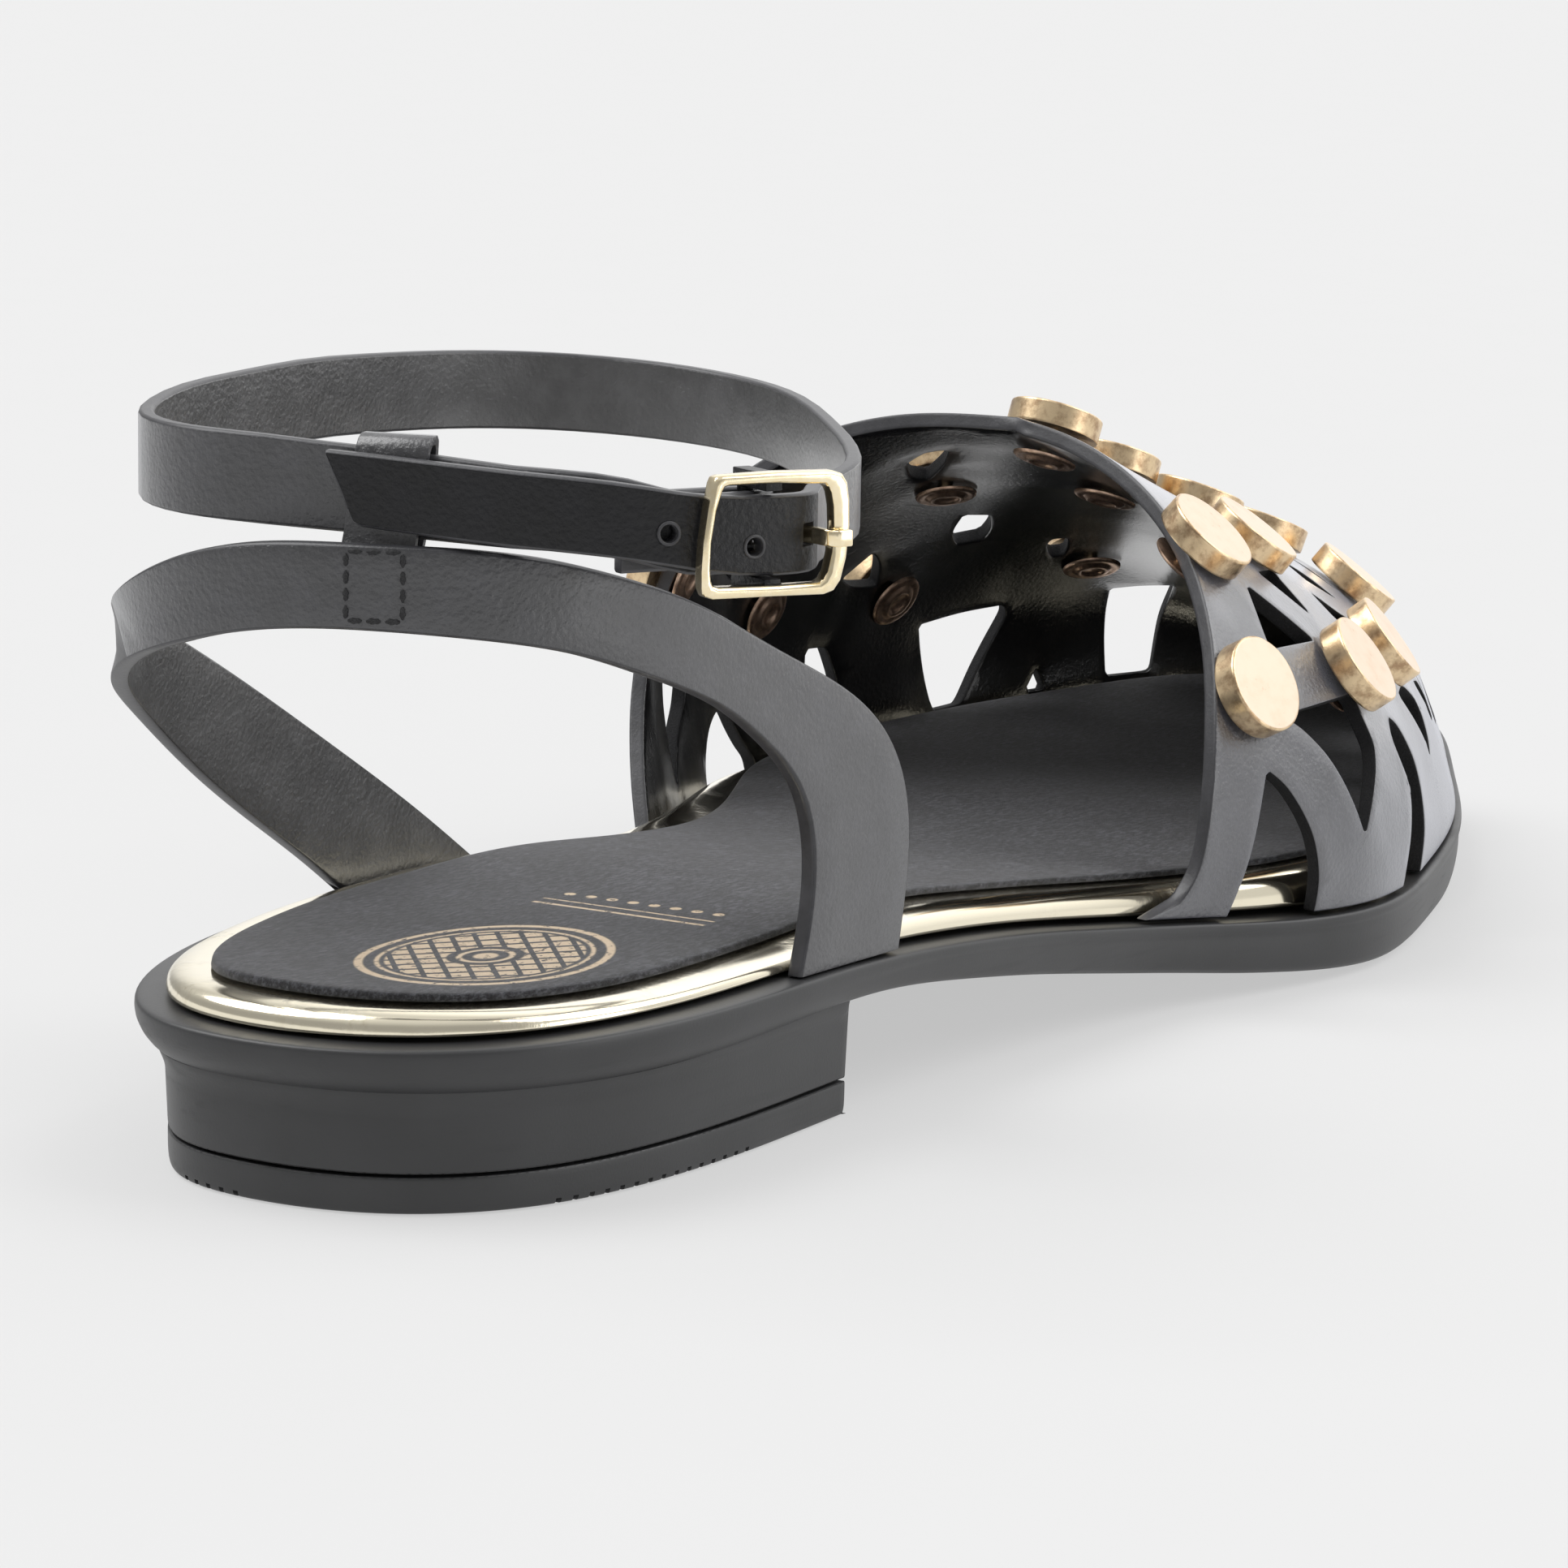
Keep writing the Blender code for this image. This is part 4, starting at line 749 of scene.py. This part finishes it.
liftNicks = {  # runs of small nicks in the lower edge, each from a point to a point in mm
    "runs": (((-27.5, 3.5), (-25.6, 10.5), 5), ((-13, -23.6), (13, -28.6), 15)),
    "wide": 0.6 * mm, "deep": 1.5 * mm, "tall": 0.75 * mm,
}
heelLift = copyOf("heel_top_lift", "heelLift")
rounded(heelLift, moulded["heelSharp"])
bevelled(heelLift, moulded["heelEdge"], 22)
cutters = []
for start, end, count in liftNicks["runs"]:
    start, end = Vector((*start, 0)) * mm, Vector((*end, 0)) * mm
    along = end - start
    for k in range(count):
        bpy.ops.object.select_all(action="DESELECT")
        bpy.ops.mesh.primitive_cube_add(
            size=1, location=start.lerp(end, k / (count - 1)), rotation=(0, 0, math.atan2(along.y, along.x)),
            scale=(liftNicks["wide"], liftNicks["deep"] * 2, liftNicks["tall"] * 2),
        )
        cutters.append(bpy.context.object)
cutter = joined("nickCutter", cutters)
applied(heelLift, "BOOLEAN", object=cutter, operation="DIFFERENCE", solver="EXACT")
bpy.data.objects.remove(cutter)
finished(heelLift, "rubber", "blackRubber", replaces=("heel_top_lift",), smooth=moulded["heelSmooth"])

footbed = {"sharp": 80}
rand = copyOf("footbed_rand", "goldRand")
rounded(rand, footbed["sharp"])
finished(rand, "gold_leather", "goldLeather", replaces=("footbed_rand",))
sock = copyOf("insole_sock", "nubuckSock")
rounded(sock, footbed["sharp"])
finished(sock, "nubuck", "nubuck", replaces=("insole_sock",))
print("sole and footbed")


# studs and rivets
def seatOf(node):  # base centre and axis of a turned node
    facing = {}
    for f in frame["nodes"][node].data.polygons:
        facing.setdefault(tuple(round(c, 2) for c in f.normal), []).append(f)
    base = max(facing.values(), key=lambda faces: sum(f.area for f in faces))
    axis = -sum((f.normal * f.area for f in base), Vector()).normalized()
    centre = sum((f.center * f.area for f in base), Vector()) / sum(f.area for f in base)
    return centre, axis


def turnedPiece(name, profile, segments):  # a ring drawn out through (radius, height) pairs, with closed ends
    bpy.ops.object.select_all(action="DESELECT")
    radius, height = profile[0]
    bpy.ops.mesh.primitive_circle_add(vertices=segments, radius=radius, location=(0, 0, height))
    piece = bpy.context.object
    piece.name = piece.data.name = name
    bpy.ops.object.transform_apply(location=True, rotation=True, scale=True)
    bpy.ops.object.mode_set(mode="EDIT")
    bpy.ops.mesh.select_all(action="SELECT")
    for nextRadius, nextHeight in profile[1:]:
        bpy.ops.mesh.extrude_region_move(TRANSFORM_OT_translate={"value": (0, 0, nextHeight - height)})
        factor = nextRadius / radius
        bpy.ops.transform.resize(value=(factor, factor, 1), center_override=(0, 0, 0))
        radius, height = nextRadius, nextHeight
    bpy.ops.mesh.edge_face_add()
    bpy.ops.mesh.select_all(action="SELECT")
    bpy.ops.mesh.remove_doubles(threshold=0.001 * mm)
    bpy.ops.mesh.select_mode(type="EDGE")
    bpy.ops.mesh.select_all(action="DESELECT")
    bpy.ops.mesh.select_non_manifold()
    bpy.ops.mesh.edge_face_add()
    bpy.ops.mesh.select_all(action="SELECT")
    bpy.ops.mesh.normals_make_consistent(inside=False)
    bpy.ops.mesh.select_all(action="DESELECT")
    bpy.ops.object.mode_set(mode="OBJECT")
    return piece


def seated(pattern, node, name, slot, materials, smooth):
    centre, axis = seatOf(node)
    piece = pattern.copy()
    piece.data = pattern.data.copy()
    piece.name = piece.data.name = name
    bpy.context.scene.collection.objects.link(piece)
    piece.data.transform(Matrix.Translation(centre) @ leaning(axis))
    finished(piece, slot, *materials, replaces=(node,), smooth=smooth)


drumStud = {"radius": 5.55, "height": 2.8, "bevel": 0.24, "shank": 0.9, "reach": 2.6, "smooth": 35}  # in mm
radius, height, bevel = drumStud["radius"], drumStud["height"], drumStud["bevel"]
corner = [math.radians(t) for t in (0, 30, 60, 90)]
studProfile = [
    (drumStud["shank"], -drumStud["reach"]), (drumStud["shank"], 0),
    (radius - 0.2, 0), (radius - 0.05, 0.05), (radius, 0.18), (radius, 0.3), (radius, height - bevel - 0.1),
    *((radius - bevel + bevel * math.cos(t), height - bevel + bevel * math.sin(t)) for t in corner),
    (radius - bevel - 0.1, height), (radius * 0.6, height), (radius * 0.1, height),
]
studPattern = turnedPiece("studPattern", [(r * mm, h * mm) for r, h in studProfile], 64)
# flat tops take the face gold, the sides the darker gold with painted shade
for f in studPattern.data.polygons:
    f.material_index = 0 if f.normal.z > 0.98 else 1
rivetRing = {  # a dished washer, with the radius and height of each ring of its section in mm
    "section": (
        (1.25, 0), (3.8, 0), (3.75, 0.25), (3.5, 0.42), (3.1, 0.45), (2.75, 0.35),
        (2.5, 0.4), (2.25, 0.68), (1.9, 0.8), (1.6, 0.76), (1.4, 0.6), (1.25, 0.4),
    ),
    "smooth": 60,
}
rivetPattern = turnedPiece("rivetPattern", [(r * mm, h * mm) for r, h in rivetRing["section"]], 48)
studLooks, rivetLooks = ("studFace", "antiqueGoldAndShade"), ("bronze",)
for i in range(1, 17):
    seated(studPattern, f"stud_{i:02d}", f"drumStud{i:02d}", "stud_gold", studLooks, drumStud["smooth"])
for i in range(1, 17):
    seated(rivetPattern, f"rivet_{i:02d}", f"rivetRing{i:02d}", "bronze", rivetLooks, rivetRing["smooth"])
for pattern in (studPattern, rivetPattern):
    bpy.data.objects.remove(pattern)
print("studs and rivets")


# buckle
buckle = {"lugReach": 4.5 * mm, "lugTall": 5.6 * mm, "edge": 0.12 * mm, "pinEdge": 0.2 * mm}
buckleFrame = copyOf("buckle_frame", "buckleFrame")
middle = (Vector(buckleLow) + Vector(buckleHigh)) / 2
upright = [f for f in buckleFrame.data.polygons if abs(f.normal.z) < 0.3]
face = max(upright, key=lambda f: f.area * (f.normal.y < -0.4 and f.normal.x < -0.4)).normal
across = face.cross(Vector((0, 0, 1))).normalized()
for f in buckleFrame.data.polygons:  # the lugs are wrapped in the strap's fold, in the free end's leather with its painted shade
    around = [buckleFrame.data.vertices[v].co - middle for v in f.vertices]
    if all(abs(c.dot(across)) < buckle["lugReach"] and abs(c.z) < buckle["lugTall"] for c in around):
        f.material_index = 1
bevelled(buckleFrame, buckle["edge"], 30)
finished(buckleFrame, "buckle_gold", "buckleGold", "paintedShadeTipLeather", replaces=("buckle_frame",), smooth=40)
bucklePin = copyOf("buckle_prong", "bucklePin")
bevelled(bucklePin, buckle["pinEdge"], 40, segments=3)
finished(bucklePin, "buckle_gold", "buckleGold", replaces=("buckle_prong",), smooth=40)
print("buckle")


# floor and light
bpy.ops.object.select_all(action="DESELECT")
bpy.ops.mesh.primitive_plane_add(size=24)
floor = bpy.context.object
floor.name = "floor"
floor.data.materials.append(looks["paleFloor"])

studio = {
    "room": 0.36,
    "walls": (  # strength, direction, and the cosines where a soft bright wall starts and is full
        (0.95, (0.97, 0.05, 0.22), 0.55, 0.98),  # beyond the toe
        (0.36, (0.1, 0.1, 0.99), 0.25, 0.95),  # above
        (0.30, (0.38, -0.90, 0.20), 0.80, 0.98),  # beside the outer side
    ),
    "suns": (("keyLight", 2.0, 48, 112, 56), ("fillLight", 1.0, 46, -58, 44)),  # strength, spread, azimuth, height
    "card": 0.20, "cardSize": (0.22, 0.13), "cardPlace": (0.11, -0.46, 0.065), "cardFacing": (0.12, -0.43, 0.02),
}
scene = bpy.context.scene
scene.view_settings.view_transform = "Standard"
scene.world = bpy.data.worlds.new("studioRoom")
scene.world.use_nodes = True
scene.world.node_tree.nodes.clear()
room = Wire(scene.world.node_tree)
gaze = room.make("TexCoord", out="Generated")
brightness = studio["room"]
for strength, direction, start, full in studio["walls"]:
    facing = room.make("VectorMath", {"operation": "DOT_PRODUCT"}, {0: gaze, 1: direction}, 1)
    brightness = brightness + facing.ramp(start, full) * strength
background = room.make("Background", {}, {"Color": (1.0, 1.0, 1.0), "Strength": brightness})
room.make("OutputWorld", {}, {"Surface": background})


def towards(azimuth, elevation):
    a, e = math.radians(azimuth), math.radians(elevation)
    return Vector((math.cos(a) * math.cos(e), math.sin(a) * math.cos(e), math.sin(e)))


for name, strength, spread, azimuth, elevation in studio["suns"]:
    bpy.ops.object.light_add(type="SUN", location=(0, 0, 1))
    lamp = bpy.context.object
    lamp.name = name
    lamp.data.energy = strength
    lamp.data.angle = math.radians(spread)
    lamp.rotation_euler = towards(azimuth, elevation).to_track_quat("Z", "Y").to_euler()
bpy.ops.object.light_add(type="AREA", location=studio["cardPlace"])
card = bpy.context.object  # a bright card beside the shoe
card.name = "sideCard"
card.data.shape = "RECTANGLE"
card.data.size, card.data.size_y = studio["cardSize"]
card.data.energy = studio["card"]
card.rotation_euler = Vector(studio["cardFacing"]).to_track_quat("Z", "Y").to_euler()
card.visible_camera = False

# camera
view = {
    "target": (68.32 * mm, 0, 25.11 * mm), "azimuth": 209.69, "elevation": 10.49, "roll": 1.04,
    "distance": 549.9 * mm, "lens": 116.96,
}
bpy.ops.object.camera_add()
camera = bpy.context.object
camera.name = "viewCamera"
away = towards(view["azimuth"], view["elevation"])
level = Vector((0, 0, 1)).cross(away).normalized()
turn = Matrix((level, away.cross(level), away)).transposed() @ Matrix.Rotation(math.radians(view["roll"]), 3, "Z")
camera.matrix_world = Matrix.Translation(Vector(view["target"]) + away * view["distance"]) @ turn.to_4x4()
camera.data.sensor_width = 36
camera.data.lens = view["lens"]
camera.data.clip_start, camera.data.clip_end = 0.01, 100
scene.camera = camera
